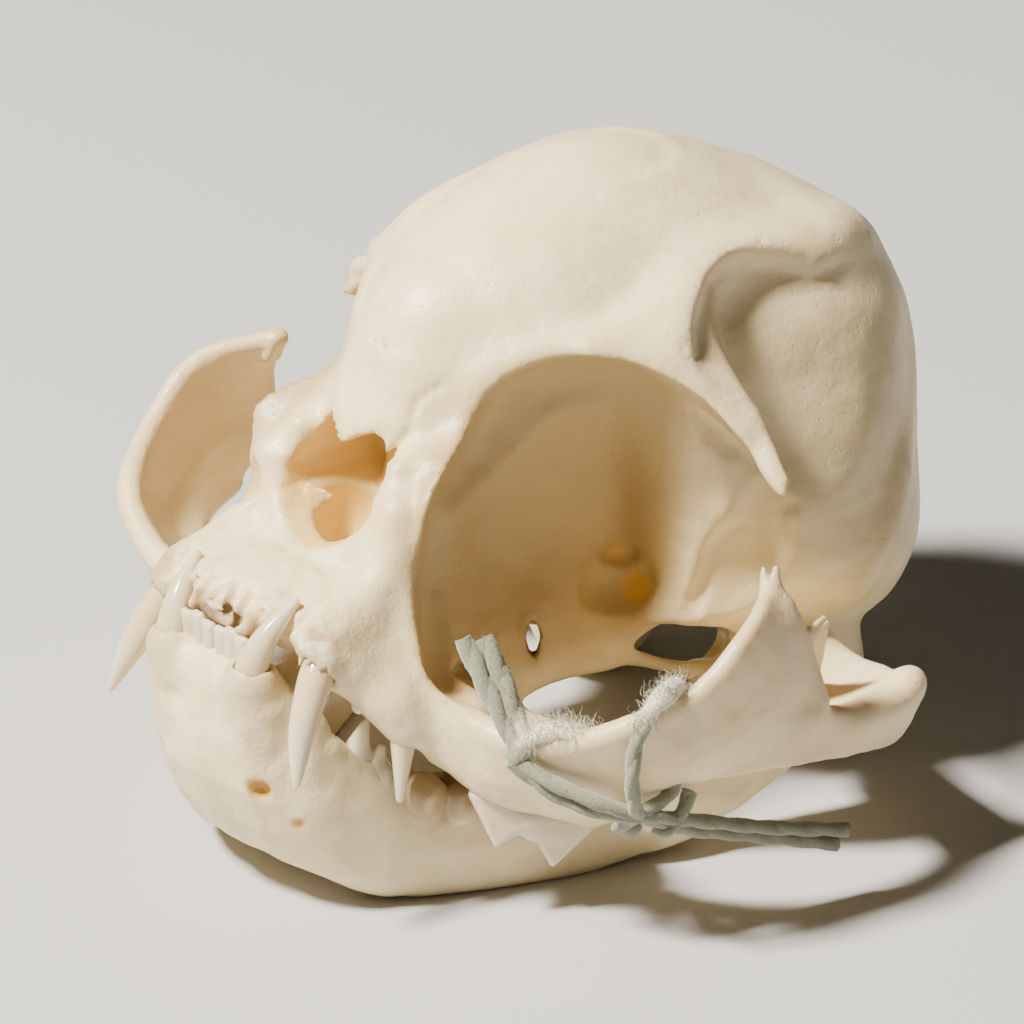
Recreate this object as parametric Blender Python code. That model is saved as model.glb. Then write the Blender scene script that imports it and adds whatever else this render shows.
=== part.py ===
"""A short-faced domestic cat's skull at life size, with its lower jaw tied on, resting on a floor.

+X is the cat's left, the nose points along -Y and +Z is up. The floor is z = 0. The skull rests on
the lower edges of both jaw halves and on its two ear capsules. Forms are given in millimetres for
the left side (x above 0) and mirrored; objects are made in metres.
"""

import math

import bmesh
import bpy
import numpy as np
import openvdb
from mathutils import Euler

MM = 0.001
FAR = 10.0

# Driving dimensions, mm
BRAINCASE_CENTRE = (0.0, 13.3, 30.4)
BRAINCASE_RADII = (21.8, 22.8, 21.8)
ARCH_BOW = 0.3
TWINE_RADIUS = 0.65
# The forms are drawn from a point this far behind the middle of the skull's length
TO_MIDDLE = 0.9
# Fineness of the grids that the forms are worked out on, and the gap between parts
STEP = 0.5
TOOTH_STEP = 0.35
GAP = 0.4
# What lies lower than this, in metres, is brought down to the floor, so that the feet are flat
FOOT = 0.00012
# Boxes that hold half of the cranium, of the jaw, the twine and one canine
CRANIUM_BOX = ((0, -42, -1), (39, 38, 60))
JAW_BOX = ((0, -42, -1), (39, 20, 34))
TWINE_BOX = ((0, -42, -1), (39, 10, 32))
CANINE_BOX = ((2, -39, 10), (14, -25, 33))
# Where the parts meet: the plane 30 y + 18.2 z = 248 across the face, and a box round the left cheekbone
FACE_SUTURE = (30.0, 18.2, 248.0)
CHEEK_LOW = (22.5, -30.0, 6.0)
CHEEK_HIGH = (40.0, 2.5, 33.0)
# About how many triangles each part gets
TRIANGLES = {"braincase": 2600, "face": 2900, "cheekbone": 620, "jaw": 900, "canine": 90, "twine": 1100}


# ---------------------------------------------------------------- forms
# A form is a list of pieces: (lowest corner, highest corner, distance from points to its surface).


def spaced(points, steps):
    """A smooth curve through points of any width, with this many steps to each span."""
    points = np.array(points, float)
    ends = np.vstack([2 * points[0] - points[1], points, 2 * points[-1] - points[-2]])
    made = []
    for i in range(len(points) - 1):
        a, b, c, d = ends[i : i + 4]
        for t in np.arange(steps) / steps:
            bend = 2 * a - 5 * b + 4 * c - d + t * (3 * (b - c) + d - a)
            made.append(b + 0.5 * t * (c - a + t * bend))
    return np.array(made + [points[-1]])


def ball(centre, radii, turn=(0, 0, 0)):
    """An egg with three radii, turned by angles in degrees."""
    centre = np.array(centre, float)
    radii = np.array(radii, float)
    axes = np.array(Euler([math.radians(a) for a in turn]).to_matrix())
    reach = np.sqrt(((axes * radii) ** 2).sum(axis=1))

    def distance(p):
        local = (p - centre.astype(np.float32)) @ axes.astype(np.float32)
        near = np.linalg.norm(local / radii.astype(np.float32), axis=-1)
        slope = np.linalg.norm(local / (radii**2).astype(np.float32), axis=-1)
        return near * (near - 1) / np.maximum(slope, 1e-6)

    return [(centre - reach, centre + reach, distance)]


def rod(a, b):
    """A rod with round ends from a to b, each x, y, z and radius."""
    a = np.array(a, float)
    b = np.array(b, float)
    reach = np.array([a[3], b[3]])[:, None]
    ends = np.array([a[:3], b[:3]])

    def distance(p):
        along = (b - a)[:3].astype(np.float32)
        rest = p - a[:3].astype(np.float32)
        part = np.clip(rest @ along / max(float(along @ along), 1e-9), 0, 1)
        return np.linalg.norm(rest - part[..., None] * along, axis=-1) - (a[3] + part * (b[3] - a[3]))

    return [((ends - reach).min(axis=0), (ends + reach).max(axis=0), distance)]


def limb(points, steps=4):
    """A smooth round branch through points of x, y, z and radius."""
    curve = spaced(points, steps)
    return [piece for a, b in zip(curve[:-1], curve[1:]) for piece in rod(a, b)]


def web(a, b, c):
    """A thick triangle with round edges between three points, each x, y, z and half thickness."""
    a, b, c = (np.array(q, float) for q in (a, b, c))
    rods = [rod(a, b)[0], rod(b, c)[0], rod(c, a)[0]]
    low = np.min([r[0] for r in rods], axis=0)
    high = np.max([r[1] for r in rods], axis=0)
    across = np.cross((b - a)[:3], (c - a)[:3])
    area = across @ across

    def distance(p):
        best = np.minimum(rods[0][2](p), np.minimum(rods[1][2](p), rods[2][2](p)))
        if area < 1e-9:
            return best
        rest = p - a[:3].astype(np.float32)
        to_b = rest @ (np.cross((c - a)[:3], across) / area).astype(np.float32)
        to_c = rest @ (np.cross(across, (b - a)[:3]) / area).astype(np.float32)
        flat = np.abs(rest @ (across / math.sqrt(area)).astype(np.float32))
        flat -= a[3] + to_b * (b[3] - a[3]) + to_c * (c[3] - a[3])
        inside = (to_b >= 0) & (to_c >= 0) & (to_b + to_c <= 1)
        return np.where(inside, np.minimum(flat, best), best)

    return [(low, high, distance)]


def sheet(rows, steps=3, across=1):
    """A curved plate through rows of points of x, y, z and half thickness."""
    rows = np.array([spaced(row, steps) for row in rows])
    if across > 1:
        rows = np.stack([spaced(column, across) for column in rows.transpose(1, 0, 2)], axis=1)
    made = []
    for i in range(len(rows) - 1):
        for j in range(len(rows[0]) - 1):
            a, b, c, d = rows[i, j], rows[i, j + 1], rows[i + 1, j + 1], rows[i + 1, j]
            made += web(a, b, c) + web(a, c, d)
    return made


def tunnel(outline, front, back):
    """A straight tunnel along y between front and back, with this outline of x and z."""
    corners = np.array(outline, np.float32)
    low = np.array((corners[:, 0].min(), front, corners[:, 1].min()))
    high = np.array((corners[:, 0].max(), back, corners[:, 1].max()))

    def distance(p):
        flat = p[..., [0, 2]]
        best = np.full(p.shape[:-1], FAR * FAR, np.float32)
        inside = np.zeros(p.shape[:-1], bool)
        for a, b in zip(corners, np.roll(corners, -1, axis=0)):
            edge = b - a
            rest = flat - a
            part = np.clip(rest @ edge / (edge @ edge), 0, 1)
            best = np.minimum(best, ((rest - part[..., None] * edge) ** 2).sum(axis=-1))
            if edge[1]:
                level = (a[1] <= flat[..., 1]) != (b[1] <= flat[..., 1])
                inside ^= level & (rest[..., 0] < edge[0] * rest[..., 1] / edge[1])
        aside = np.where(inside, -1, 1) * np.sqrt(best)
        return np.maximum(aside, np.maximum(front - p[..., 1], p[..., 1] - back))

    return [(low, high, distance)]


def grown(form, by):
    """A form with every surface moved out."""
    return [
        (low - by, high + by, lambda p, distance=distance: distance(p) - by)
        for low, high, distance in form
    ]


def mirrored_form(form):
    """A form on the other side of x = 0."""
    flip = np.array((-1, 1, 1), np.float32)
    return [
        (np.array((-high[0], low[1], low[2])), np.array((-low[0], high[1], high[2])),
         lambda p, distance=distance: distance(p * flip))
        for low, high, distance in form
    ]


# ---------------------------------------------------------------- clay


def soft_least(a, b, soft):
    if soft <= 0:
        return np.minimum(a, b)
    overlap = np.maximum(soft - np.abs(a - b), 0) / soft
    return np.minimum(a, b) - overlap * overlap * soft / 4


class Clay:
    """A solid held as distances to its surface, negative inside, on a grid of points."""

    def __init__(self, low, high, step):
        self.low = np.array(low, float)
        self.step = step
        count = np.ceil((np.array(high, float) - self.low) / step).astype(int) + 1
        self.field = np.full(count, FAR, np.float32)

    def window(self, low, high, margin):
        first = np.floor((low - margin - self.low) / self.step).astype(int)
        last = np.ceil((high + margin - self.low) / self.step).astype(int) + 1
        first = np.clip(first, 0, self.field.shape)
        last = np.clip(last, first, self.field.shape)
        return first, last

    def points(self, first, last):
        axes = [self.low[i] + self.step * np.arange(first[i], last[i]) for i in range(3)]
        return np.stack(np.meshgrid(*axes, indexing="ij"), axis=-1).astype(np.float32)

    def measure(self, form, margin):
        """The part of the grid near a form, and the distance to the form there."""
        low = np.min([piece[0] for piece in form], axis=0)
        high = np.max([piece[1] for piece in form], axis=0)
        first, last = self.window(low, high, margin)
        found = np.full(last - first, FAR, np.float32)
        for low, high, distance in form:
            a, b = self.window(low, high, margin)
            if (b > a).all():
                place = tuple(slice(i, j) for i, j in zip(a - first, b - first))
                found[place] = np.minimum(found[place], distance(self.points(a, b)))
        return tuple(slice(i, j) for i, j in zip(first, last)), found

    def add(self, form, soft=1.0):
        place, found = self.measure(form, soft + 2 * self.step)
        self.field[place] = soft_least(self.field[place], found, soft)

    def carve(self, form, soft=1.0):
        place, found = self.measure(form, soft + 2 * self.step)
        self.field[place] = -soft_least(-self.field[place], found, soft)

    def push(self, form, height, fade, ramps=()):
        """Raises the surface by this height inside a form, fading towards its edge and along ramps.

        A ramp is an axis and the two places along it where the push is full and where it ends.
        """
        place, found = self.measure(form, self.step)
        part = np.clip(-found / fade, 0, 1)
        for axis, full, end in ramps:
            index = np.arange(place[axis].start, place[axis].stop)
            along = np.clip((self.low[axis] + self.step * index - end) / (full - end), 0, 1)
            shape = [1, 1, 1]
            shape[axis] = -1
            part = part * along.reshape(shape).astype(np.float32)
        self.field[place] -= height * part * part * (3 - 2 * part)

    def trim_below(self, z):
        """Cuts the solid off flat at this height."""
        heights = self.low[2] + self.step * np.arange(self.field.shape[2])
        self.field = np.maximum(self.field, (z - heights).astype(np.float32))

    def cut(self, normal, limit):
        """Keeps what lies below a plane, at this distance from the origin along its normal."""
        flat = self.points((0, 0, 0), self.field.shape) @ np.array(normal, np.float32) - limit
        self.field = np.maximum(self.field, flat)

    def keep(self, form):
        """Keeps only what lies inside a form."""
        place, found = self.measure(form, 2 * self.step)
        kept = np.full_like(self.field, FAR)
        kept[place] = np.maximum(self.field[place], found)
        self.field = kept

    def clear_of(self, other, gap):
        """Takes away what is nearer than a gap to another solid, on a grid with the same start."""
        place = tuple(slice(0, min(n, m)) for n, m in zip(self.field.shape, other.field.shape))
        self.field[place] = np.maximum(self.field[place], gap - other.field[place])

    def copy(self):
        made = Clay(self.low, self.low, self.step)
        made.field = self.field.copy()
        return made

    def mirrored(self, right=None):
        """The whole solid, from a left half whose grid starts at x = 0 and a right half like it."""
        right = right or self
        whole = Clay((0, 0, 0), (0, 0, 0), self.step)
        whole.field = np.concatenate([right.field[:0:-1], self.field])
        whole.low = self.low - (self.step * (self.field.shape[0] - 1), 0, 0)
        return whole

    def mesh(self, name):
        grid = openvdb.FloatGrid(FAR)
        grid.transform = openvdb.createLinearTransform(voxelSize=self.step)
        grid.copyFromArray(np.ascontiguousarray(self.field))
        points, triangles, quads = grid.convertToPolygons(0.0, 0.0)
        points = (points + self.low) * MM
        mesh = bpy.data.meshes.new(name)
        mesh.from_pydata(points.tolist(), [], triangles.tolist() + quads.tolist())
        mesh.update()
        return mesh


# ---------------------------------------------------------------- the skull's forms


def masses(clay):
    add = clay.add
    add(ball(BRAINCASE_CENTRE, BRAINCASE_RADII))
    add(ball((0, 18.0, 24.0), (19.5, 17.5, 15.5)), 3)
    add(ball((13.5, 20.6, 20.5), (7.5, 8.0, 8.0)), 4)
    # forehead: a high dome that comes forward over the orbits
    add(ball((0, 4.6, 37.5), (14.3, 17.5, 18.2)), 5)
    add(ball((0, 9.0, 36.5), (14.0, 16.0, 17.6)), 3)
    add(ball((7.0, 21.0, 37.5), (9.5, 10.0, 9.5)), 4)
    add(ball((0, -4.6, 42.0), (9.8, 9.0, 8.4), (-25, 0, 0)), 7)
    # tall block between the orbits, with the nose in front
    add(sheet([[(0, -11, 44, 6.0), (0, -1, 44, 8)], [(0, -13.5, 37, 7), (0, 2, 32, 8)],
               [(0, -15, 24, 8.5), (0, 5, 20, 8)], [(0, -12, 18, 8), (0, 6, 17, 7)]], 3, 2), 3)
    # nasal bones
    add(limb([(1.5, -12.5, 42.0, 3.0), (1.9, -17.0, 38.0, 1.9), (0.9, -20.8, 36.9, 0.8)]), 2.5)


def upper_jaw(clay):
    add = clay.add
    # block that carries the canines, then the cheek tooth rows
    add(ball((0, -26.8, 25.8), (9.3, 9.0, 3.3)), 2)
    add(limb([(8.8, -30.6, 25.0, 2.0), (8.4, -27.6, 26.4, 1.6), (8.0, -23.4, 30.0, 1.5),
              (7.0, -18.5, 36.0, 1.7)]), 2.5)
    # bone over the root of the canine
    add(limb([(7.7, -27.8, 26.6, 1.6), (8.7, -30.2, 25.6, 2.0), (9.2, -31.5, 24.7, 1.95),
              (9.55, -32.3, 23.9, 1.65)]), 1.2)
    add(limb([(12.6, -27.0, 19.5, 1.9), (13.4, -26.6, 17.6, 1.5)]), 1.0)
    add(sheet([[(10.0, -29.5, 22.5, 2.2), (13.0, -25.5, 18.5, 2.0), (17.0, -20.5, 13.5, 2.0),
                (19.5, -14.5, 11.5, 1.8)],
               [(8.6, -26.5, 26.0, 1.7), (10.9, -23.9, 23.2, 1.9), (14.5, -20.6, 17.5, 2.1),
                (16.5, -13.5, 14.0, 1.6)]], 3), 2)
    # floor and side of the nasal opening
    add(sheet([[(0, -24.7, 27.5, 1.3), (2.4, -24.5, 28.2, 1.3), (4.7, -24.0, 29.6, 1.3),
                (6.3, -23.0, 31.6, 1.2), (6.7, -21.9, 33.8, 1.1), (6.1, -20.7, 36.2, 1.0)],
               [(0, -19.5, 27.0, 1.3), (2.4, -19.5, 27.8, 1.3), (4.7, -19.0, 29.4, 1.3),
                (6.4, -18.4, 31.6, 1.3), (6.7, -17.6, 34.0, 1.2), (6.2, -16.6, 36.6, 1.2)]], 4), 1.5)
    # front wall of the orbit, beside the nasal cavity
    add(sheet([[(8.0, -22.4, 33.5, 1.5), (8.9, -23.4, 27.0, 1.6), (11.4, -23.4, 21.0, 1.6)],
               [(6.2, -14.5, 34.5, 1.6), (6.6, -14.5, 27.0, 1.6), (8.0, -14.5, 20.0, 1.6)]], 3), 1.5)
    # hard palate and the walls behind it
    add(sheet([[(0, -31.5, 25.4, 1.2), (0, -12, 13.5, 1.5)],
               [(10, -29, 22.8, 1.5), (16, -13, 12.5, 1.5)]], 3), 1.5)
    add(sheet([[(7.0, -14, 24, 1.6), (8.2, -8, 22, 1.4), (8.0, 0, 20, 1.2), (8.0, 7, 18, 1.4)],
               [(9.5, -13, 14, 1.3), (8.8, -7, 14.0, 0.9), (8.2, 0, 12.6, 0.7), (8.0, 6, 11.5, 0.7)]],
              3), 1.5)


def orbit(clay):
    add, carve = clay.add, clay.carve
    # shoulder of the forehead above the temple
    add(limb([(15.0, 1.5, 44.5, 2.2), (13.0, 7.5, 47.0, 2.0), (12.6, 13.0, 47.6, 1.6),
              (12.6, 19.4, 46.7, 1.8), (10.8, 24.8, 45.3, 1.4), (6.0, 29.5, 42.2, 0.7)]), 4)
    carve(ball((21.5, -10.0, 29.5), (14.5, 16.0, 16.5)), 1.0)
    carve(limb([(17, -6, 27, 9), (12.4, 0.0, 22.5, 4.8)]), 5.0)
    # the front of the braincase bulges into the orbit, up to a ridge below the process
    add(sheet([[(12.3, 3.4, 38.0, 3.0), (11.4, 4.6, 30.0, 3.0), (11.0, 5.6, 23.0, 3.0),
                (11.2, 6.6, 18.0, 3.0)],
               [(17.4, 5.2, 38.0, 3.0), (18.4, 9.6, 30.0, 3.0), (14.4, 7.0, 22.8, 3.0),
                (12.6, 6.6, 18.6, 2.6)]], 3), 2.4)
    carve(ball((27.5, 0.5, 21.5), (12.6, 12.6, 12.6)), 0.3)
    add(limb([(6.6, -13.8, 38.2, 1.3), (9.2, -19.4, 35.4, 1.0), (9.2, -21.3, 31.5, 1.0),
              (10.0, -22.6, 27.0, 1.2), (12.6, -23.4, 21.8, 1.5)]), 1.5)
    # thin flange of the rim beside the nose
    add(sheet([[(7.9, -15.0, 38.0, 0.7), (9.6, -18.6, 36.8, 0.5), (10.4, -20.9, 35.2, 0.45),
                (10.4, -21.9, 32.2, 0.45)],
               [(6.4, -16.5, 36.0, 1.0), (7.6, -19.0, 34.5, 1.0), (8.2, -21.0, 33.0, 1.0),
                (8.6, -21.8, 31.0, 1.0)]], 3), 0.8)


# The edge of the orbit from below the eye, up beside the nose and back to the process, and its middle
ORBIT_RIM = [(14.0, -24.2, 21.3), (11.5, -23.6, 27.5), (10.4, -21.9, 31.8), (10.5, -20.9, 35.4),
             (7.9, -14.2, 38.6), (10.0, -10.7, 43.7), (13.0, -4.5, 44.0), (16.0, -0.6, 42.2),
             (18.5, 1.6, 40.1), (22.0, 2.9, 37.3)]
ORBIT_MIDDLE = (20.0, -9.5, 29.0)
RIM_HOLLOW = 5.0


def brow(clay, side):
    """The upper rim of the orbit and the pointed process behind the eye."""
    add = clay.add
    add(limb([(6.6, -13.8, 38.2, 1.4), (8.2, -10.8, 42.6, 1.4), (12.2, -5.6, 44.2, 1.4),
              (15.8, -1.6, 42.6, 1.4), (18.8, 1.2, 40.2, 1.4), (21.5, 2.8, 37.9, 1.2)]), 3.0)
    add(sheet([[(13.0, -5.0, 44.2, 1.2), (18.8, 1.0, 40.2, 1.2), (22.0, 2.8, 37.6, 0.9)],
               [(13.2, 4.0, 46.0, 1.5), (17.0, 4.4, 42.0, 1.2), (21.4, 3.8, 38.6, 0.9)]], 4), 3.0)
    # the process behind the eye, down to its point
    add(sheet([[(19.5, 1.6, 39.6, 1.1), (23.4, 3.0, 36.8, 0.8), (27.2, 2.8, 34.3, 0.4)],
               [(18.4, 4.0, 40.8, 1.0), (23.0, 3.9, 38.0, 0.8), (26.8, 3.4, 35.0, 0.4)]], 4), 1.0)
    if side < 0:
        add(limb([(23.4, 3.2, 37.8, 1.0), (25.9, 3.0, 36.9, 0.8), (26.1, 2.8, 34.6, 0.45)]), 0.8)
        add(sheet([[(8.6, -15.4, 38.2, 0.7), (10.3, -18.6, 37.4, 0.5), (11.0, -21.0, 36.0, 0.45),
                    (10.5, -21.6, 32.6, 0.45)],
                   [(6.4, -16.5, 36.0, 1.0), (7.6, -19.0, 34.5, 1.0), (8.2, -21.0, 33.0, 1.0),
                    (8.6, -21.8, 31.0, 1.0)]], 3), 0.8)
    # the rim is sharp where the hollow behind it begins
    rim = np.array(ORBIT_RIM)
    inward = np.array(ORBIT_MIDDLE) - rim
    inward /= np.linalg.norm(inward, axis=1)[:, None]
    clay.carve(limb([(*point, RIM_HOLLOW) for point in rim + RIM_HOLLOW * inward], 3), 0.5)
    if side < 0:
        # broken notch in the rim beside the nose
        clay.carve(limb([(9.0, -24.4, 31.6, 2.0), (10.4, -24.6, 29.6, 1.3),
                         (11.4, -24.8, 28.0, 0.8)]), 0.4)


def bowed(row, side):
    """A row of the cheek arch, which bows out further on the right."""
    out = 0.0 if side > 0 else ARCH_BOW
    return [
        (x + out * min(max((x - 14) / 20, 0), 1), y - 0.9 * out * min(max((x - 14) / 20, 0), 1), z, r)
        for x, y, z, r in row
    ]


def cheek_arch(clay, side):
    add, carve = clay.add, clay.carve
    upper = [(13.0, -23.6, 21.6, 1.4), (17.6, -22.6, 17.9, 1.3), (21.8, -21.5, 17.6, 1.2),
             (26.0, -20.8, 18.6, 1.1), (30.6, -18.6, 20.8, 1.0), (33.9, -12.6, 23.6, 0.9),
             (34.1, -7.4, 27.4, 0.8), (31.3, -2.2, 28.8, 0.7)]
    if side < 0:
        upper[-4:] = [(30.6, -18.6, 21.2, 1.0), (33.9, -12.8, 24.6, 0.9), (34.1, -7.4, 28.6, 0.9),
                      (30.6, -1.4, 30.0, 0.8)]
    middle = [(14.0, -24.0, 17.6, 1.6), (18.0, -21.6, 12.8, 1.6), (21.8, -18.2, 11.6, 1.4),
              (26.2, -16.9, 13.4, 1.2), (32.0, -14.8, 17.4, 1.3), (34.2, -9.2, 19.6, 1.3),
              (34.2, -3.8, 22.0, 1.1), (32.8, -1.2, 26.2, 0.8)]
    lower = [(14.6, -23.6, 15.0, 1.4), (18.0, -18.4, 11.0, 1.4), (21.2, -14.8, 8.8, 1.4),
             (25.8, -14.2, 11.0, 1.3), (29.8, -12.4, 14.2, 1.2), (32.4, -8.6, 15.4, 1.1),
             (33.8, -3.4, 16.2, 1.0), (34.2, 0.6, 18.6, 0.8)]
    add(sheet([bowed(row, side) for row in (upper, middle, lower)], 3, 3), 1.0)
    bar = [[(33.8, -8.0, 19.0, 1.0), (34.0, -1.0, 17.6, 1.0), (34.0, 5.0, 15.6, 0.9),
            (33.6, 10.0, 14.8, 0.8), (33.4, 11.9, 16.3, 0.8)],
           [(33.0, -8.6, 15.6, 1.0), (33.8, -2.0, 14.3, 0.9), (33.8, 5.0, 12.9, 0.8),
            (33.5, 9.4, 12.2, 0.8), (33.4, 11.2, 13.2, 0.7)]]
    if side < 0:
        bar = [[(33.8, -8.0, 19.0, 1.0), (34.0, -1.0, 20.2, 0.9), (34.0, 4.0, 19.8, 0.9),
                (33.4, 9.6, 17.0, 0.8)],
               [(33.6, -8.6, 17.4, 1.0), (34.0, -2.0, 18.2, 0.9), (34.0, 4.0, 17.2, 0.9),
                (33.4, 10.0, 14.6, 0.8)]]
    add(sheet([bowed(row, side) for row in bar], 3), 1.0)
    if side < 0:
        carve(ball((34.6, -0.9, 13.6), (3.6, 3.8, 4.4)), 0.6)
    else:
        # broken ends: a splinter behind the cheekbone, and two points on top of it
        add(web((33.6, -1.6, 24.6, 0.35), (33.6, -0.8, 23.0, 0.35), (33.0, 2.3, 25.2, 0.3)), 0.3)
    add(rod((31.3, -2.8, 28.4, 0.6), (30.5, -2.4, 30.3, 0.3)), 0.4)
    add(rod((31.4, -1.8, 28.2, 0.6), (31.1, -1.5, 30.4, 0.3)), 0.4)
    # root of the arch on the braincase, above the jaw joint
    add(sheet([[(17, 10.0, 14.4, 2.5), (23, 8.0, 13.6, 1.6), (29, 6.5, 14.2, 1.2),
                (33.6, 4.0, 14.8, 0.9)],
               [(17, 15.2, 12.8, 2.2), (23, 14.4, 13.0, 1.4), (29, 12.6, 14.6, 1.2),
                (33.4, 11.6, 16.0, 0.9)]], 3), 2.5)


def base(clay):
    add, carve = clay.add, clay.carve
    add(sheet([[(0, 4, 17, 2.5), (0, 27, 12.5, 3.0)], [(9, 8, 17.5, 2.5), (9, 27, 13.0, 3.0)]], 2), 3)
    carve(sheet([[(0, -2, 7.4, 5.4), (0, 12, 6.6, 5.4), (0, 25, 3.0, 5.4)],
                 [(7, -2, 7.4, 5.4), (8, 12, 6.4, 5.4), (8, 25, 3.0, 5.4)]], 2), 1.5)
    carve(ball((14.2, 4.0, 10.4), (5.0, 9.2, 6.3)), 1.0)
    carve(ball((11.0, 7.8, 9.8), (6.0, 5.8, 4.8)), 1.0)
    carve(ball((12.2, 5.0, 12.4), (3.8, 6.0, 4.2)), 0.8)
    add(limb([(8.4, -3.4, 13.9, 1.0), (8.3, 0, 13.1, 1.1), (8.0, 3.4, 12.0, 0.8), (8.4, 7.0, 10.2, 0.6),
              (9.2, 11.0, 8.4, 0.7)]), 0.8)
    # ear capsule, with the bone behind it and the ear opening in its side
    add(ball((11.6, 17.8, 7.4), (5.8, 7.4, 8.0), (0, 0, -12)), 2.5)
    add(ball((9.8, 14.2, 6.6), (3.0, 3.6, 2.8), (0, 0, -25)), 2.0)
    add(limb([(15.5, 19.5, 17.0, 2.2), (13.6, 21.2, 11.0, 1.5), (12.8, 22.4, 6.4, 1.1)]), 2.5)
    carve(limb([(20.0, 13.6, 11.0, 1.9), (15.5, 14.6, 10.4, 1.6)]), 0.8)
    carve(limb([(9.4, 10.8, 12.2, 2.2), (6.8, 13.6, 9.8, 1.7)]), 0.6)
    # knob of the neck joint beside the great opening for the spinal cord
    add(limb([(9.0, 24.0, 12.6, 2.0), (7.2, 28.6, 11.4, 2.6), (5.4, 30.2, 9.2, 2.2),
              (3.0, 29.0, 8.4, 1.4)]), 1.5)
    carve(ball((0, 30.5, 14.4), (6.6, 9.5, 5.8), (-24, 0, 0)), 1.0)


TEMPLE_LINE = [(23.6, 4.2, 37.4), (21.6, 3.4, 40.0), (19.3, 2.7, 42.5), (17.2, 2.4, 45.4),
               (15.2, 3.6, 47.8), (14.2, 6.4, 49.2), (14.2, 9.1, 49.4), (14.4, 11.8, 48.9),
               (14.6, 15.0, 47.9), (14.6, 17.9, 47.3), (14.0, 20.9, 47.0), (11.2, 26.5, 46.4)]
TEMPLE_MIDDLE = (20.0, 14.0, 35.0)
NOSE_OUTLINE = [(0.0, 36.9), (0.9, 37.6), (2.4, 38.2), (3.9, 37.4), (5.1, 35.2), (5.5, 33.4),
                (5.1, 31.8), (3.5, 30.2), (1.5, 29.2), (0.0, 28.7)]


def nose_and_temple(clay):
    add, carve, push = clay.add, clay.carve, clay.push
    outline = NOSE_OUTLINE + [(-x, z) for x, z in NOSE_OUTLINE[-2:0:-1]]
    carve(tunnel(outline, -34.0, -12.5), 0.1)
    # the nose is wider and deeper behind its rim
    carve(ball((0, -18.6, 29.4), (4.4, 4.4, 4.8)), 0.8)
    # a sharp line above and in front, fading out behind and below
    line = spaced(TEMPLE_LINE, 1)
    inward = np.array(TEMPLE_MIDDLE) - line
    inward /= np.linalg.norm(inward, axis=1)[:, None]
    rows = [
        [(*(point + reach * step), reach) for point, step in zip(line, inward)]
        for reach in (3.2, 5.2, 7.2)
    ]
    low = [[(19.0, 7.0, 41.0, 4), (19.2, 13.3, 41.5, 4), (17.6, 20.5, 41.0, 4), (13.5, 27.5, 40.0, 4)],
           [(20.8, 6.5, 36.0, 4), (21.6, 14.0, 36.0, 4), (19.0, 22.0, 36.0, 4), (14.5, 29.5, 35.0, 4)],
           [(20.5, 8.0, 27.0, 4), (21.6, 13.0, 27.0, 4), (20.6, 20.0, 27.0, 4), (17.0, 27.5, 27.0, 4)],
           [(20.5, 8.0, 18.0, 4), (21.4, 13.0, 18.0, 4), (20.6, 18.0, 18.0, 4), (19.0, 22.0, 18.0, 4)]]
    push(sheet(rows, 2) + sheet(low, 3, 2), -1.7, 1.9, [(1, 12.0, 28.0), (2, 38.0, 18.0)])
    push(ball((20.5, 9.0, 36.0), (9, 11, 10)), -1.5, 8.0)
    # crest across the back of the braincase
    add(limb([(7.0, 30.0, 40.8, 0.6), (12.5, 28.6, 36.5, 0.8), (17.0, 25.6, 30.0, 0.9),
              (20.0, 21.5, 24.0, 0.9), (20.4, 18.0, 18.5, 0.8)]), 2.5)


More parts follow.
